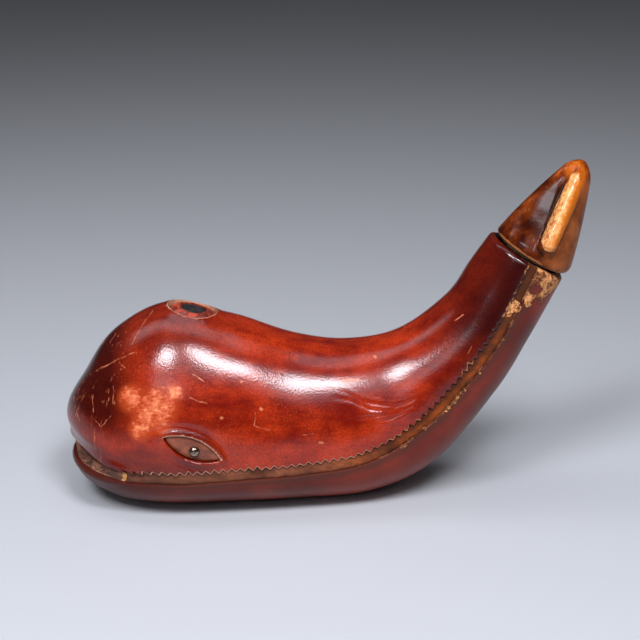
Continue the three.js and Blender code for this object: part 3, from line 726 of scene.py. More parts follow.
def from_eye(points):
    """Distances along an eye and outside its slit, and whether the slit's upper arc is the nearer one.
    Points on the right side count as mirrored to the left."""
    local = np.where(points[:, 1:2] > 0, points * mirror, points) - eye_middle
    along = local @ eye_long
    up = local @ eye_up
    upper_arc = np.hypot(along, up + eye_drop) - eye_arc
    lower_arc = np.hypot(along, up - eye_drop) - eye_arc
    away = np.where(np.abs(points[:, 1]) > EYE_SIDE, np.maximum(upper_arc, lower_arc), FAR_OFF)
    return along, away, upper_arc > lower_arc


def frayed(bearing):
    """Radius of the blowhole's torn edge in a direction."""
    wander = 0.2 * np.sin(2 * bearing + 0.6) + 0.12 * np.sin(5 * bearing + 2)
    wander = wander + 0.14 * np.sin(13 * bearing + 1) + 0.12 * np.sin(23 * bearing)
    return BLOWHOLE_RADIUS + wander


def from_blowhole(points):
    """Bearings from the blowhole's middle, and distances outside its torn edge."""
    local = points - hole_middle
    along = local @ hole_long
    across = local @ hole_up
    bearing = np.arctan2(across, along)
    away = np.hypot(along, across) - frayed(bearing)
    return bearing, np.where(local @ hole_face > -BLOWHOLE_BELOW, away, FAR_OFF)


def settle(place, along, across, station, angle):
    """Stations and angles of the points of the upper skin that lie at given distances from a place."""
    step = 0.001
    middle, long, up = place[:3]
    station, angle = (np.broadcast_to(start, along.shape) for start in (station, angle))
    for _ in range(8):
        here = skin(UPPER, station, angle) - middle
        miss = np.stack([along - here @ long, across - here @ up], -1)
        ways = [way / (2 * step) for way in skin_ways(UPPER, station, angle, step)]
        slopes = np.stack([np.stack([way @ axis for way in ways], -1) for axis in (long, up)], -2)
        change = np.linalg.solve(slopes, miss[..., None])[..., 0]
        station = station + change[..., 0]
        angle = angle + change[..., 1]
    return station, angle


upper_rows = even_rows(UPPER, UPPER_EDGE, TOOTH_PITCH / TOOTH_ROWS)
ease = np.linspace(0, 1, HALF_COLUMNS + 1)
half_across = 0.5 * (ease - EDGE_CROWDING * np.sin(np.pi * ease) / np.pi)
upper_across = np.concatenate([half_across, 1 - half_across[-2::-1]])
upper_station, upper_angle, upper_index = hide_grid(UPPER, UPPER_EDGE, upper_rows, upper_across)

lip_lengths, lip_stations = seam_path(UPPER_EDGE)[1:3]
corner_station = np.interp(mouth_corner * lip_lengths[-1], lip_lengths, lip_stations)
tooth_row = np.arange(len(upper_rows)) - int(np.argmin(np.abs(upper_rows - corner_station)))
half_tooth = TOOTH_ROWS // 2
tooth_shape = np.abs((tooth_row + half_tooth) % TOOTH_ROWS - half_tooth) / half_tooth
tooth_draws = rng.standard_normal(len(upper_rows) // TOOTH_ROWS + 3)
tooth_size = np.clip(1 + TOOTH_VARIES * tooth_draws[tooth_row // TOOTH_ROWS], 0.6, 1.3)
tooth_fade = 1 - TOOTH_FADES * ramp(seam_at(upper_rows)[:, 0], 90, 12)
tooth_height = TOOTH_DEPTH * tooth_shape * tooth_fade * tooth_size
tooth_height = np.where(tooth_row > 0, tooth_height, 0)

side_rise = rise(UPPER, upper_rows)[:, None]
plain_side = np.arcsin(UPPER_EDGE / side_rise)
notch_turn = np.arcsin((UPPER_EDGE + tooth_height[:, None]) / side_rise) - plain_side
side_rows = upper_angle[MOUTH_ROWS:]
from_left = np.clip(1 - (side_rows - plain_side) * side_rise / NOTCH_REACH, 0, 1)
from_right = np.clip(1 - (np.pi - side_rows - plain_side) * side_rise / NOTCH_REACH, 0, 1)
upper_angle[MOUTH_ROWS:] = side_rows + notch_turn * (from_left - from_right)

station = upper_station.ravel()
angle = upper_angle.ravel()
upper_skin = skin(UPPER, station, angle)
eye_along, eye_away, above_eye = from_eye(upper_skin)
hole_bearing, hole_away = from_blowhole(upper_skin)
nearest_opening = np.minimum(eye_away, hole_away)
upper_faces = grid_faces(upper_index)
upper_faces = upper_faces[nearest_opening[upper_faces].mean(1) > 0]
on_opening = np.unique(free_edges(upper_faces, len(upper_skin)))

hole_edge = on_opening[np.abs(hole_away[on_opening]) < OPENING_REACH]
bearing = hole_bearing[hole_edge]
station[hole_edge], angle[hole_edge] = settle(
    hole_place, frayed(bearing) * np.cos(bearing), frayed(bearing) * np.sin(bearing),
    station[hole_edge], angle[hole_edge])

eye_edge = on_opening[np.abs(eye_away[on_opening]) < OPENING_REACH]
edge_along = np.clip(eye_along[eye_edge], -EYE_LENGTH / 2, EYE_LENGTH / 2)
edge_up = np.where(above_eye[eye_edge], 1, -1) * (np.sqrt(eye_arc ** 2 - edge_along ** 2) - eye_drop)
on_right = upper_skin[eye_edge, 1] > 0
left_angle = np.where(on_right, np.pi - angle[eye_edge], angle[eye_edge])
station[eye_edge], left_angle = settle(eye_place, edge_along, edge_up, station[eye_edge], left_angle)
angle[eye_edge] = np.where(on_right, np.pi - left_angle, left_angle)

upper_skin = skin(UPPER, station, angle)
eye_along, lid_away, upper_lid = from_eye(upper_skin)
lid_fade = np.clip(1.25 - np.abs(eye_along) / EYE_LENGTH, 0, 1)
crease_above = UPPER_LID_CREASE * swell(lid_away - 4.8, 1.4)
crease_below = LOWER_LID_CREASE * swell(lid_away - 4.4, 1.4)
lid_rise = swell(lid_away - 0.9, np.where(upper_lid, 1.9, 1.5))
upper_lift = (lid_rise - np.where(upper_lid, crease_above, crease_below)) * lid_fade
upper_lift -= EDGE_TUCK * swell(lid_away, 0.35)
hole_away = from_blowhole(upper_skin)[1]
upper_lift += BLOWHOLE_RISE * swell(hole_away - 0.8, 1.8)

upper_height = over_edge(UPPER, UPPER_EDGE, station, angle)
lip_roll = LIP_ROLL * swell(upper_height - 1.6, 3.0) - LIP_CREASE * swell(upper_height - 8, 2.5)
upper_lift += np.clip(LIP_END - station, 0, 1) * lip_roll
tooth_line = np.concatenate([np.zeros(MOUTH_ROWS), tooth_height])
own_edge = upper_height - np.repeat(tooth_line, len(upper_across))
upper_lift -= EDGE_TUCK * swell(own_edge, 0.5)
upper_lift -= UPPER_RIM_TUCK * rim_round(upper_skin, 2.6)

x, y, z = upper_skin.T
folds = [
    ((12, 72.5), (24, 67.5), (33, 66), (41, 65.5), (47, 67), (53, 70)),
    ((8, 70), (16, 68.5), (22, 66), (27, 64), (36, 63), (46, 65)),
    ((13, 60), (22, 59.5), (30, 60), (38, 61), (45, 63.5)),
    ((21, 58.5), (31, 57.5), (38, 58.5), (45, 61.5), (50, 64)),
]
for fold in folds:
    fold_x, fold_z = np.array(fold, float).T
    ends = np.clip(np.minimum((x - fold_x[0] + 4) / 22, (fold_x[-1] + 4 - x) / 18), 0, 1)
    away = z - np.interp(x, fold_x, fold_z)
    crease = FOLD_RIDGE * swell(np.abs(away) - 1.7, 0.9) - FOLD_DEPTH * swell(away, 0.8)
    upper_lift += ends * crease * (np.abs(y) > 8)
ripple = np.sin(x / 9 + 0.7 * np.sin(z / 11)) * np.sin(z / 8 + y / 13)
upper_lift += UNEVEN * ripple * ramp(own_edge, 0, 8)

upper_out = upper_skin + upper_lift[:, None] * outward(UPPER, station, angle)
upper_in = skin(UPPER, station, angle, hide_thickness(upper_height + UPPER_EDGE))

oxblood = Finish("glossy_oxblood_hide", {"Specular IOR Level": 0.46})
spot = oxblood.place
pebble = spot.cells(900)
streak = spot.stretched(0.22, 1, 1).noise(120, 4, 0.6)
mottle = spot.noise(75, 4, 0.6)
dyed = (0.45 * spot.noise(18, 4) + 0.3 * streak + 0.25 * mottle).climb(0.37, 0.59)
oxblood.tone = dyed.over((0.15, 0.004, 0.001), (0.41, 0.028, 0.004))
speck = spot.noise(1000, 2).climb(0.5, 0.64) * spot.noise(28, 3).climb(0.44, 0.62)
oxblood.paint(0.28 * speck, (0.46, 0.060, 0.015))
oxblood.paint(0.36 * pebble.climb(0.3, 0.6), (0.080, 0.003, 0.001))
# Painted shade: the mark dark darkens the shaded right side of the neck, the hide by the seam along the tail,
# the nose, the crown and the cheek above the seam. It also darkens a band over each upper lid.
oxblood.paint(0.98 * spot.mark("dark"), (0.022, 0.001, 0.001))
rub_depth = 0.72 * spot.mark("rubbed") + 1.7 * (spot.noise(110, 9, 0.8) - 0.5)
rub_depth = rub_depth + 1.1 * (spot.stretched(0.6, 1, 1.4).noise(420, 4, 0.7) - 0.5)
rubbed = rub_depth.climb(0.40, 0.66)
oxblood.paint(0.6 * spot.mark("rubbed").climb(0.0, 0.9), (0.46, 0.062, 0.014))
rub_bare = (rub_depth + 0.6 * (spot.noise(330, 5, 0.65) - 0.5)).climb(0.55, 1.1)
oxblood.paint(0.95 * rubbed, rub_bare.over((0.50, 0.075, 0.020), (0.84, 0.29, 0.115)))
edge_patch = spot.noise(85, 4, 0.65).climb(0.42, 0.54).most(spot.part("X").fall(0.02, 0.05))
# Pale worn cut edges along the teeth, partly painted highlight where they catch the light, a painted
# highlight along each upper lid's rim, and the frayed rim of the blowhole.
edge_worn = (spot.mark("edge") * edge_patch * (0.5 + spot.noise(180, 4))).climb(0.42, 0.8)
edge_wear_and_glint_tone = spot.part("X").climb(0.0, 0.06).over((0.52, 0.28, 0.17), (0.56, 0.22, 0.075))
oxblood.paint(0.75 * edge_worn, edge_wear_and_glint_tone)

on_far_side = spot.part("Y").climb(-0.0001, 0.0001)
shift = spot.node("CombineXYZ", {}, {0: 0.017 * on_far_side, 2: -0.006 * on_far_side})
waver = spot.node("TexNoise", {}, {"Vector": spot, "Scale": 150, "Detail": 4}, "Color")
wobble = spot.node("VectorMath", {"operation": "SCALE"}, {0: waver, "Scale": WOBBLE})
side_place = spot.node("VectorMath", {"operation": "ADD"}, {0: spot, 1: shift})
side_place = spot.node("VectorMath", {"operation": "ADD"}, {0: side_place, 1: wobble}).stretched(1, 0, 1)


def nearest_stroke(place, strokes):
    """Distance from a place, seen from the side, to the nearest of some lines in millimetres."""
    nearest = None
    for stroke in strokes:
        for (x0, z0), (x1, z1) in zip(stroke[:-1], stroke[1:]):
            start = (x0 * MM + WOBBLE / 2, 0, z0 * MM + WOBBLE / 2)
            run = ((x1 - x0) * MM, 0, (z1 - z0) * MM)
            share = 1 / (run[0] ** 2 + run[2] ** 2)
            gone = place.node("VectorMath", {"operation": "SUBTRACT"}, {0: place, 1: start})
            along = gone.node("VectorMath", {"operation": "DOT_PRODUCT"}, {0: gone, 1: run}, "Value")
            along = along.node("Math", {"operation": "MULTIPLY", "use_clamp": True}, {0: along, 1: share})
            foot = along.node("VectorMath", {"operation": "SCALE"}, {0: run, "Scale": along})
            away = foot.node("VectorMath", {"operation": "DISTANCE"}, {0: gone, 1: foot}, "Value")
            nearest = away if nearest is None else nearest.least(away)
    return nearest


long_scratches = [
    ((-128, 81), (-115, 90), (-105, 95)), ((-72, 86), (-69, 84), (-64, 80)), ((-37, 65), (-38, 58)),
    ((-129, 58), (-124, 54), (-118, 62)), ((-130, 69), (-129, 61)), ((-143, 60), (-138, 53)),
    ((-114, 89), (-110, 87)), ((74, 111), (79, 115)), ((81, 95), (83, 99)), ((-11, 52), (-5, 52)),
]
faint_scratches = [
    ((-107, 98), (-103, 105), (-97, 112)), ((-38, 58), (-29, 55)), ((-74, 74), (-64, 71)),
    ((-117, 77), (-117, 68)), ((-118, 99), (-121, 95)), ((64, 92), (65, 96)), ((72, 101), (75, 103)),
]
chips = [
    ((-45, 81), (-44.5, 81)), ((-34, 67), (-33.5, 66.5)), ((-56, 63), (-55.5, 63)), ((-1, 47), (0, 47)),
    ((12, 78), (20, 78)), ((-88, 60), (-87, 60)), ((30, 88), (30.5, 88)),
]
ragged = 0.0011 * (spot.noise(480, 3) - 0.5)
broken = spot.noise(240, 3).climb(0.36, 0.58)
scratch = (nearest_stroke(side_place, long_scratches) + ragged).fall(0.0, 0.00045) * broken
faint = (nearest_stroke(side_place, faint_scratches) + ragged).fall(0.0, 0.0005) * broken
chip = (nearest_stroke(side_place, chips) + ragged).fall(0.0004, 0.0010)
hairline = spot.stretched(1, 1, 0.08).noise(480, 3).climb(0.6, 0.68)
hairline = hairline * spot.noise(60, 3).climb(0.44, 0.6) * spot.mark("nose")
scar = (0.9 * scratch).most(0.5 * faint).most(0.7 * chip).most(0.5 * hairline)
oxblood.paint(scar, spot.noise(330, 3).over((0.42, 0.075, 0.028), (0.72, 0.26, 0.12)))
oxblood.surface(0.7 * pebble + 0.25 * spot.noise(1300, 2), 0.055,
                0.15 + 0.06 * mottle + 0.3 * rubbed + 0.2 * scar)

cheek_rubs = [(-107, -42, 73, 11), (-91, -46, 70, 15), (-97, -47, 63, 12), (-82, -44, 77, 7),
              (-101, -46, 56, 9), (-90, -49, 60, 8), (-73, 44, 75, 9), (-66, 44, 69, 8), (-59, 42, 76, 6),
              (14, 40, 58, 6)]
nose_share = ramp(-x, 95, 24)
# Marks of painted shade on the neck, by the seam, on the nose, on the crown and on the cheek, and a darker
# band over the upper lids.
neck_painted_shade = ramp(x, 44, 36) * ramp(z, 68, 40) * swell(own_edge, 42)
seam_painted_shade = 0.95 * ramp(x, 50, 40) * swell(own_edge, 15)
lid_dark = np.where(upper_lid, 0.5, 0) * swell(lid_away - 2, 1.7)
nose_painted_shade = 0.93 * nose_share * ramp(z, 42, 18)
crown_painted_shade = 0.45 * ramp(-x, 40, 40) * ramp(z, 84, 16)
cheek_painted_shade = 0.6 * swell(own_edge, 15) * ramp(-x, 40, 30)
# The teeth's worn cut edges, partly painted highlight, and a painted highlight along each upper lid's rim.
tooth_wear_and_glint = swell(own_edge, 0.8 + 0.9 * ramp(x, 30, 40)) * (1 - 0.25 * ramp(x, 20, 60))
tooth_wear_and_glint = np.where(x > -104, tooth_wear_and_glint, 0)
lid_rim_glint = np.where(upper_lid, 1.1, 0.2) * swell(lid_away - 0.4, 0.7)
add_sheet("upper_leather", upper_out, upper_in, upper_faces, oxblood, "body", "upper_hide", "oxblood_leather",
          rubbed=blobs(upper_skin, cheek_rubs), nose=nose_share,
          edge=np.maximum.reduce([tooth_wear_and_glint, lid_rim_glint, 0.8 * swell(hole_away, 0.8)]),
          dark=np.maximum.reduce([neck_painted_shade, seam_painted_shade, lid_dark, nose_painted_shade, crown_painted_shade, cheek_painted_shade]))

# The eyes. An almond of glossy grey-brown leather is inlaid in each slit, a little deeper at its under
# edge, and a small domed brass nail through it makes the pupil.
INLAY_ROWS = 61
INLAY_COLUMNS = 19
INLAY_TRIM = 0.25
INLAY_END = 0.4
INLAY_GAP = 0.45
INLAY_DEPTH = 1.75
INLAY_LEAN = 0.45
INLAY_BOW = 0.45
STUD_RADIUS = 3.0
STUD_HEIGHT = 1.9
STUD_SHANK = 0.8
STUD_SINK = 1.0
STUD_STEPS = 40
share_along = np.linspace(-1, 1, INLAY_ROWS)
share_up = np.linspace(-1, 1, INLAY_COLUMNS)
inlay_along = (EYE_LENGTH / 2 - INLAY_END) * np.sign(share_along) * (1 - (1 - np.abs(share_along)) ** 1.3)
half_height = np.maximum(np.sqrt(eye_arc ** 2 - inlay_along ** 2) - eye_drop - INLAY_TRIM, 0.02)[:, None]
up_grid = half_height * share_up + INLAY_GAP * np.clip(-share_up, 0, 1) * half_height / half_height.max()
along_grid = np.repeat(inlay_along[:, None], INLAY_COLUMNS, 1)
inlay_place = settle(eye_place, along_grid, up_grid, *eye_spot)
inlay_depth = INLAY_DEPTH - INLAY_LEAN * share_up - INLAY_BOW * (1 - np.abs(share_up) ** 4)
inlay_top = skin(UPPER, *inlay_place, inlay_depth)
inlay_under = skin(UPPER, *inlay_place, HIDE)
inlay_faces = grid_faces(numbered(INLAY_ROWS, INLAY_COLUMNS))

inlay = Finish("eye_inlay_leather", {"Specular IOR Level": 0.6})
cloud = inlay.place.noise(110, 4)
inlay.tone = cloud.climb(0.36, 0.64).over((0.12, 0.026, 0.011), (0.27, 0.066, 0.025))
inlay.surface(inlay.place.noise(420, 3) + 0.6 * cloud, 0.2, 0.2 + 0.25 * cloud)

stud_middle = eye_middle + 1.8 * eye_long - 0.9 * eye_up - STUD_SINK * eye_face
stud_turn = full_turn(STUD_STEPS)[:, None]
stud_spokes = np.cos(stud_turn) * eye_long + np.sin(stud_turn) * eye_up
dome = np.radians(np.linspace(0, 86, 12))
stud_outline = [(STUD_SHANK, -1.5), (STUD_SHANK, -0.75), (STUD_RADIUS - 0.25, -0.7), (STUD_RADIUS, -0.35)]
stud_outline += [(STUD_RADIUS * math.cos(a), STUD_HEIGHT * math.sin(a)) for a in dome]
stud_rings = [stud_middle + radius * stud_spokes + level * eye_face for radius, level in stud_outline]
stud_ends = [stud_middle + STUD_HEIGHT * eye_face, stud_middle - 1.5 * eye_face]
stud_points = np.vstack(stud_rings + stud_ends)
stud_foot = np.arange(STUD_STEPS)
stud_top = stud_foot + (len(stud_outline) - 1) * STUD_STEPS
stud_faces = np.vstack([
    lathe_faces(len(stud_outline), STUD_STEPS)[:, ::-1], fan(stud_top, len(stud_points) - 2),
    fan(stud_foot[::-1], len(stud_points) - 1)])

nail = Finish("tarnished_nail", {"Metallic": 1.0})
tarnish = nail.place.noise(900, 3)
nail.tone = tarnish.climb(0.4, 0.62).over((0.36, 0.27, 0.21), (0.12, 0.085, 0.062))
nail.surface(nail.place.noise(1400, 3), 0.05, 0.1 + 0.16 * tarnish)

for side, turn, order in (("left", np.ones(3), 1), ("right", mirror, -1)):
    add_sheet("eye_leather_" + side, inlay_top * turn, inlay_under * turn, inlay_faces[:, ::order], inlay,
              "body", "eye_inlay_" + side, "grey_leather")
    add_piece("eye_nail_" + side, stud_points * turn, stud_faces[:, ::order], nail,
              "body", "eye_stud_" + side, "stud_metal")

# The blowhole. A dished washer of worn russet leather is let into the round hole on the crown, with a
# disc of matte black leather in its middle.
RING_STEPS = 120
ring_radii = [7.75, 8.2, 9.0, 10.2, 11.4, 12.4, 13.0, 13.4]
ring_depths = [0.75, 0.45, 0.4, 0.6, 0.95, 1.3, 1.65, 2.1]
disc_radii = [0.02, 1.5, 3.0, 4.5, 6.0, 7.0, 7.45]
disc_depths = [1.15, 1.15, 1.15, 1.2, 1.25, 1.35, 1.7]
ring_turn = full_turn(RING_STEPS)


def crown_sheet(name, radii, depths, finish, node, slot):
    """A round sheet set into the crown, with its depth given at each radius."""
    radius = np.repeat(np.array(radii)[:, None], RING_STEPS, 1)
    place = settle(hole_place, radius * np.cos(ring_turn), radius * np.sin(ring_turn), *blowhole_spot)
    depth = np.array(depths)[:, None] + 0.12 * np.sin(5 * ring_turn + radius) * (radius > 1)
    faces = lathe_faces(len(radii), RING_STEPS)
    add_sheet(name, skin(UPPER, *place, depth), skin(UPPER, *place, HIDE), faces, finish, "body", node, slot)


russet = Finish("russet_washer_leather", {"Specular IOR Level": 0.45})
cloud = russet.place.noise(230, 6, 0.7)
russet.tone = cloud.climb(0.36, 0.66).over((0.085, 0.006, 0.004), (0.48, 0.065, 0.026))
russet.surface(russet.place.noise(480, 4) + cloud, 0.3, 0.42 + 0.2 * cloud)
crown_sheet("blowhole_washer", ring_radii, ring_depths, russet, "blowhole_ring", "russet_leather")

soot = Finish("black_plug_leather", {"Specular IOR Level": 0.3})
cloud = soot.place.noise(260, 4)
soot.tone = cloud.climb(0.4, 0.7).over((0.010, 0.009, 0.009), (0.035, 0.026, 0.024))
soot.surface(soot.place.noise(600, 4), 0.3, 0.6 + 0.2 * cloud)
crown_sheet("blowhole_disc", disc_radii, disc_depths, soot, "blowhole_plug", "black_leather")

# The stopper's cork and inner parts. A tapered cork plugs the neck. A wooden core turns on a dowel in
# the cork, and a dark leather washer lies between the cork and the core.
CORK_TOP = 0.6
DOWEL_HOLE = 4.4
DOWEL_REACH = 14.4
WASHER_RADIUS = 20.0
WASHER_FOOT = 1.0
WASHER = 1.3
BEVEL_IN = 0.5
BEVEL_UP = 0.3
TURNED_STEPS = 96


def from_neck(local):
    """Points given across and along the neck's axis, from the rim's plane."""
    return rim_centre + local @ np.array([neck_front, (0, 1, 0), neck_axis])


def turned(outline):
    """A closed turned piece on the neck's axis, from an outline of radius and height."""
    turn = full_turn(TURNED_STEPS)
    rings = [np.stack([r * np.cos(turn), r * np.sin(turn), np.full(TURNED_STEPS, h)], -1) for r, h in outline]
    index = numbered(len(outline), TURNED_STEPS)
    index = np.vstack([index, index[:1]])
    return from_neck(np.vstack(rings)), grid_faces(np.hstack([index, index[:, :1]]))


cork = Finish("natural_cork", {"Specular IOR Level": 0.25})
grain = cork.place.noise(320, 5, 0.65)
pit = cork.place.stretched(1, 1, 0.5).noise(420, 3).climb(0.63, 0.7)
cork.tone = grain.climb(0.35, 0.66).over((0.34, 0.20, 0.10), (0.62, 0.42, 0.24))
cork.paint(0.8 * pit, (0.10, 0.05, 0.028))
cork.surface(grain - pit, 0.5, 0.75 + 0.15 * grain)

foot_radius = CORK_RADIUS - CORK_TAPER
cork_outline = [(DOWEL_HOLE, CORK_TOP), (DOWEL_HOLE, -DOWEL_REACH), (0.01, -DOWEL_REACH),
                (0.01, -CORK_LENGTH), (foot_radius - 1.2, -CORK_LENGTH),
                (foot_radius - 0.4, -CORK_LENGTH + 0.35), (foot_radius, -CORK_LENGTH + 1.2)]
cork_outline += [(CORK_RADIUS - seat_slope * d, -d) for d in np.linspace(CORK_LENGTH - 3, 1.5, 12)]
cork_outline += [(CORK_RADIUS, 0.0), (CORK_RADIUS - BEVEL_IN, CORK_TOP)]
add_piece("cork_plug", *turned(cork_outline), cork, "cork", "stopper_cork", "cork")

washer_top = WASHER_FOOT + WASHER
washer_outline = [(DOWEL_HOLE, WASHER_FOOT), (WASHER_RADIUS - BEVEL_IN, WASHER_FOOT),
                  (WASHER_RADIUS, WASHER_FOOT + BEVEL_UP), (WASHER_RADIUS, washer_top - BEVEL_UP),
                  (WASHER_RADIUS - BEVEL_IN, washer_top), (DOWEL_HOLE, washer_top)]
# Painted shade: the washer is near black, the shade in the gap under the stopper's head.
washer = Finish("dark_washer_leather", {"Specular IOR Level": 0.4})
cloud = washer.place.noise(180, 4)
washer.tone = cloud.over((0.014, 0.006, 0.005), (0.040, 0.014, 0.010))
washer.surface(washer.place.noise(500, 3), 0.25, 0.5 + 0.2 * cloud)
add_piece("leather_washer", *turned(washer_outline), washer, "head", "stopper_washer", "dark_leather")

wood = Finish("plain_turned_wood", {"Specular IOR Level": 0.35})
grain = wood.place.stretched(1, 1, 0.15).noise(260, 4)
wood.tone = grain.over((0.30, 0.17, 0.08), (0.56, 0.38, 0.22))
wood.surface(grain, 0.2, 0.5 + 0.2 * grain)
for node in ("stopper_core", "stopper_dowel"):
    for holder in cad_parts[node].material_slots:
        holder.material = wood.material

# The stopper's cover. Leather is drawn wet over the core, whose two flukes stand out at the sides with
# a hollow behind each, then varnished. Handling has worn its ridges back to tan. A painted highlight runs
# along each ridge, painted shade lies in the hollows and grooves, and the front has a painted sheen.
HEAD_GAP = 2.6
HEAD_HEIGHT = 58.2
HEAD_RADIUS = 24.0
HEAD_SLOPE = 0.315
HEAD_BULGE = 1.3
HEAD_FORWARD = 2.2
HEAD_LEAN = 0.065
HEAD_ROUND = 2.5
HEAD_STEPS = 200
HEAD_CROWDING = 0.15
FRONT_ROUND = 3.0
FOOT_DROP = 1.2
FOOT_REACH = 8.0
CAP_HEIGHT = 8.0
COVER = 1.5
FLUKE_SPAN = 34.0
FLUKE_SLOPE = 0.47
FLUKE_ROOT = 14.0
FLUKE_LIFT = 1.5
FLUKE_ROUND = 5.0
FLUKE_THICK = 4.4
FLUKE_BLEND = 8
HOLLOW = 4.2
HOLLOW_TURN = 122.0
HOLLOW_REACH = 46.0
HOLLOW_MIDDLE = 0.5
HOLLOW_SPREAD = 0.42
GROOVE = 0.9
DENT = 0.25


def bar_reach(span, thick, turn):
    """Reach of a bar with rounded ends in each direction."""
    across = np.maximum(np.abs(np.cos(turn)), 1e-9)
    along = np.abs(np.sin(turn))
    centre = np.maximum(span - thick, 0)
    inside_end = thick ** 2 - across ** 2 * centre ** 2
    flat = (inside_end < 0) | (along * centre * across > thick * along ** 2)
    return np.where(flat, thick / across, along * centre + np.sqrt(np.maximum(inside_end, 0)))


def head_shape(height, turn, inset):
    """Points of the stopper's head, with the shares of the fluke and of the hollow at each."""
    into_cap = np.maximum(0, (height - HEAD_HEIGHT + inset + CAP_HEIGHT) / CAP_HEIGHT)
    cap = np.sqrt(np.maximum(0, 1 - into_cap ** 2))
    foot_round = HEAD_ROUND + FRONT_ROUND * np.maximum(0, np.cos(turn)) ** 2
    under = np.maximum(0, foot_round - height)
    drawn = foot_round - np.sqrt(foot_round ** 2 - under ** 2)
    dropped = FOOT_DROP * np.maximum(0, 1 - height / FOOT_REACH)
    share = height / HEAD_HEIGHT
    bulge = 4 * HEAD_BULGE * share * (1 - share)
    from_front = np.degrees(np.arccos(np.cos(turn)))
    across = np.maximum(0, 1 - ((from_front - HOLLOW_TURN) / HOLLOW_REACH) ** 2)
    sunk = across * np.maximum(0, 1 - ((share - HOLLOW_MIDDLE) / HOLLOW_SPREAD) ** 2)
    cone = HEAD_RADIUS - HEAD_SLOPE * height + bulge - drawn - HOLLOW * sunk - inset
    low = FLUKE_ROOT + FLUKE_LIFT * height
    high = FLUKE_SPAN - FLUKE_SLOPE * height
    edge = (low + high - np.hypot(low - high, FLUKE_ROUND)) / 2
    bar = bar_reach(edge - inset, FLUKE_THICK - inset, turn)
    reach = cap * (cone ** FLUKE_BLEND + bar ** FLUKE_BLEND) ** (1 / FLUKE_BLEND)
    forward = reach * np.cos(turn) + HEAD_FORWARD - HEAD_LEAN * height
    return np.stack([forward, reach * np.sin(turn), HEAD_GAP + height - dropped], -1), bar - cone, sunk


cap_foot = HEAD_HEIGHT - CAP_HEIGHT
cap_heights = cap_foot + CAP_HEIGHT * np.sin(np.radians(np.linspace(4, 90, 22)))
head_heights = np.concatenate([np.linspace(0, 3, 9), np.linspace(3.6, cap_foot, 80), cap_heights])
even_turn = full_turn(HEAD_STEPS)
head_turn = even_turn + HEAD_CROWDING * np.sin(2 * even_turn)
height_grid, turn_grid = np.meshgrid(head_heights, head_turn, indexing="ij")
from_tip = HEAD_HEIGHT - height_grid
head_out, fluke_proud, sunk_share = head_shape(height_grid, turn_grid, 0.0)
head_in = head_shape(np.minimum(height_grid, HEAD_HEIGHT - COVER), turn_grid, COVER)[0]
in_front = np.cos(turn_grid) > 0
fluke_share = np.clip(fluke_proud / np.where(in_front, 9, 3) + 0.5, 0, 1)
groove_share = np.where(in_front, 0, swell(fluke_proud + 1.6, 1.5)) * ramp(from_tip, CAP_HEIGHT, 10)
bar_across = (head_out[..., 0] - HEAD_FORWARD + HEAD_LEAN * height_grid) / FLUKE_THICK
bar_across = np.clip(bar_across + 0.4 * ramp(height_grid, 15, 30), -2, 2)
dents = DENT * np.sin(9 * turn_grid + height_grid / 3) * np.sin(height_grid / 2.3 + 4 * turn_grid)
roughened = dents * fluke_share * ramp(from_tip, 0, 12) - GROOVE * groove_share
outwards = head_out * np.array([1, 1, 0])
outwards /= np.maximum(np.linalg.norm(outwards, axis=-1, keepdims=True), 1)
head_out = head_out + roughened[..., None] * outwards

varnish = Finish("varnished_stopper_leather", {"Specular IOR Level": 0.06, "Coat Roughness": 0.1})
spot = varnish.place
cloud = spot.noise(60, 5, 0.6)
varnish.tone = cloud.climb(0.36, 0.64).over((0.030, 0.003, 0.001), (0.17, 0.028, 0.003))
# Painted sheen: the front of the cone is painted a lighter grey-brown, as the table's reflection there.
front_sheen_tone = cloud.climb(0.3, 0.7).over((0.14, 0.032, 0.007), (0.32, 0.095, 0.028))
varnish.paint(spot.mark("front"), front_sheen_tone)
fleck = spot.noise(380, 4, 0.65).climb(0.56, 0.7) * cloud.climb(0.42, 0.6)
varnish.paint(0.5 * fleck, (0.44, 0.15, 0.045))
# Painted shade in the hollow behind each fluke.
varnish.paint(0.9 * spot.mark("sunk"), (0.018, 0.003, 0.001))
tip_streak = spot.stretched(1.6, 1.6, 0.5).noise(90, 6, 0.7)
tip_tone = tip_streak.climb(0.38, 0.62).over((0.11, 0.010, 0.001), (0.42, 0.090, 0.007))
varnish.paint(spot.mark("tip"), tip_tone)
across = spot.mark("across") + 1.1 * (spot.noise(170, 6, 0.7) - 0.5)
bar_depth = spot.mark("fluke") + (spot.noise(190, 6, 0.7) - 0.5)
bar_worn = bar_depth.climb(0.36, 0.62) * across.fall(1.0, 1.9)
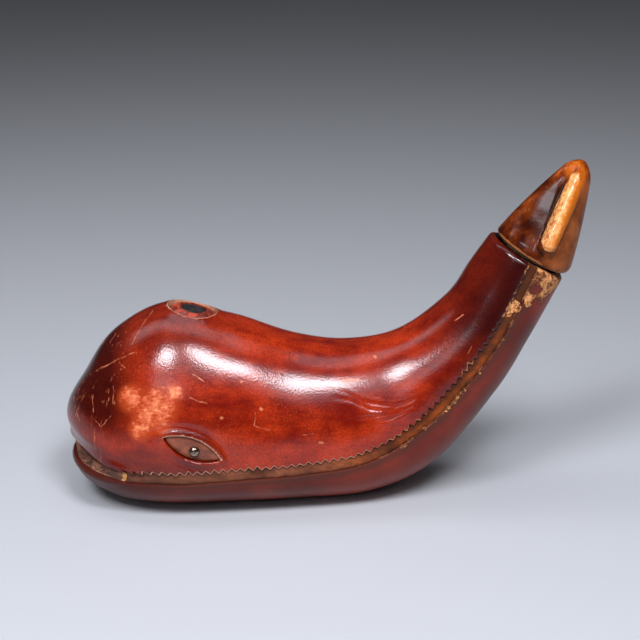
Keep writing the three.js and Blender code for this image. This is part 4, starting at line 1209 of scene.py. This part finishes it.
# The worn bar: frayed tan at its left edge, a paler painted highlight along its middle, and plain orange to
# its right.
frayed_tone = spot.noise(420, 6, 0.72).climb(0.4, 0.6).over((0.34, 0.090, 0.016), (0.80, 0.38, 0.14))
ridge_highlight_tone = spot.noise(150, 6, 0.72).climb(0.4, 0.58).over((0.56, 0.17, 0.022), (0.84, 0.41, 0.15))
worn_and_lit_tone = across.climb(-0.7, -0.15).over(frayed_tone, ridge_highlight_tone)
worn_and_lit_tone = across.climb(0.0, 0.7).over(worn_and_lit_tone, (0.48, 0.115, 0.008))
varnish.paint(0.95 * bar_worn, worn_and_lit_tone)
# Painted shade in the groove beside each fluke's bar.
varnish.paint(0.85 * spot.mark("groove"), (0.016, 0.005, 0.002))
foot_worn = (spot.mark("foot") * (0.2 + spot.noise(110, 6, 0.7))).climb(0.52, 0.72)
varnish.paint(0.7 * foot_worn, (0.40, 0.15, 0.055))
gloss_streak = spot.stretched(1, 1, 0.4).noise(110, 4, 0.6).climb(0.54, 0.68)
varnish.feed("Coat Weight", 0.04 + 0.32 * gloss_streak + 0.25 * spot.mark("tip") + 0.2 * bar_worn)
crumple = spot.noise(300, 5, 0.6)
varnish.surface(2.2 * spot.noise(60, 1) + 0.2 * crumple + 0.5 * bar_worn * crumple, 0.55,
                0.12 + 0.1 * cloud + 0.22 * bar_worn * across.fall(-0.5, 0.1))

head_index = numbered(*height_grid.shape)
head_faces = grid_faces(np.hstack([head_index, head_index[:, :1]]))[:, ::-1]
bar_length = ramp(from_tip, 4, 8) * ramp(height_grid - 2 * bar_across ** 2, 6.5, 4)
add_sheet("stopper_leather", from_neck(head_out), from_neck(head_in), head_faces, varnish,
          "head", "stopper_cover", "varnished_leather", fluke=fluke_share * bar_length, across=bar_across,
          sunk=sunk_share, groove=groove_share, tip=np.clip((20 - from_tip) / 9, 0, 1),
          front=np.clip(0.2 + 1.3 * np.cos(turn_grid), 0, 1),
          foot=swell(height_grid - 1.0, 1.8) * np.where(np.cos(turn_grid) < 0.1, 1, 0.3))
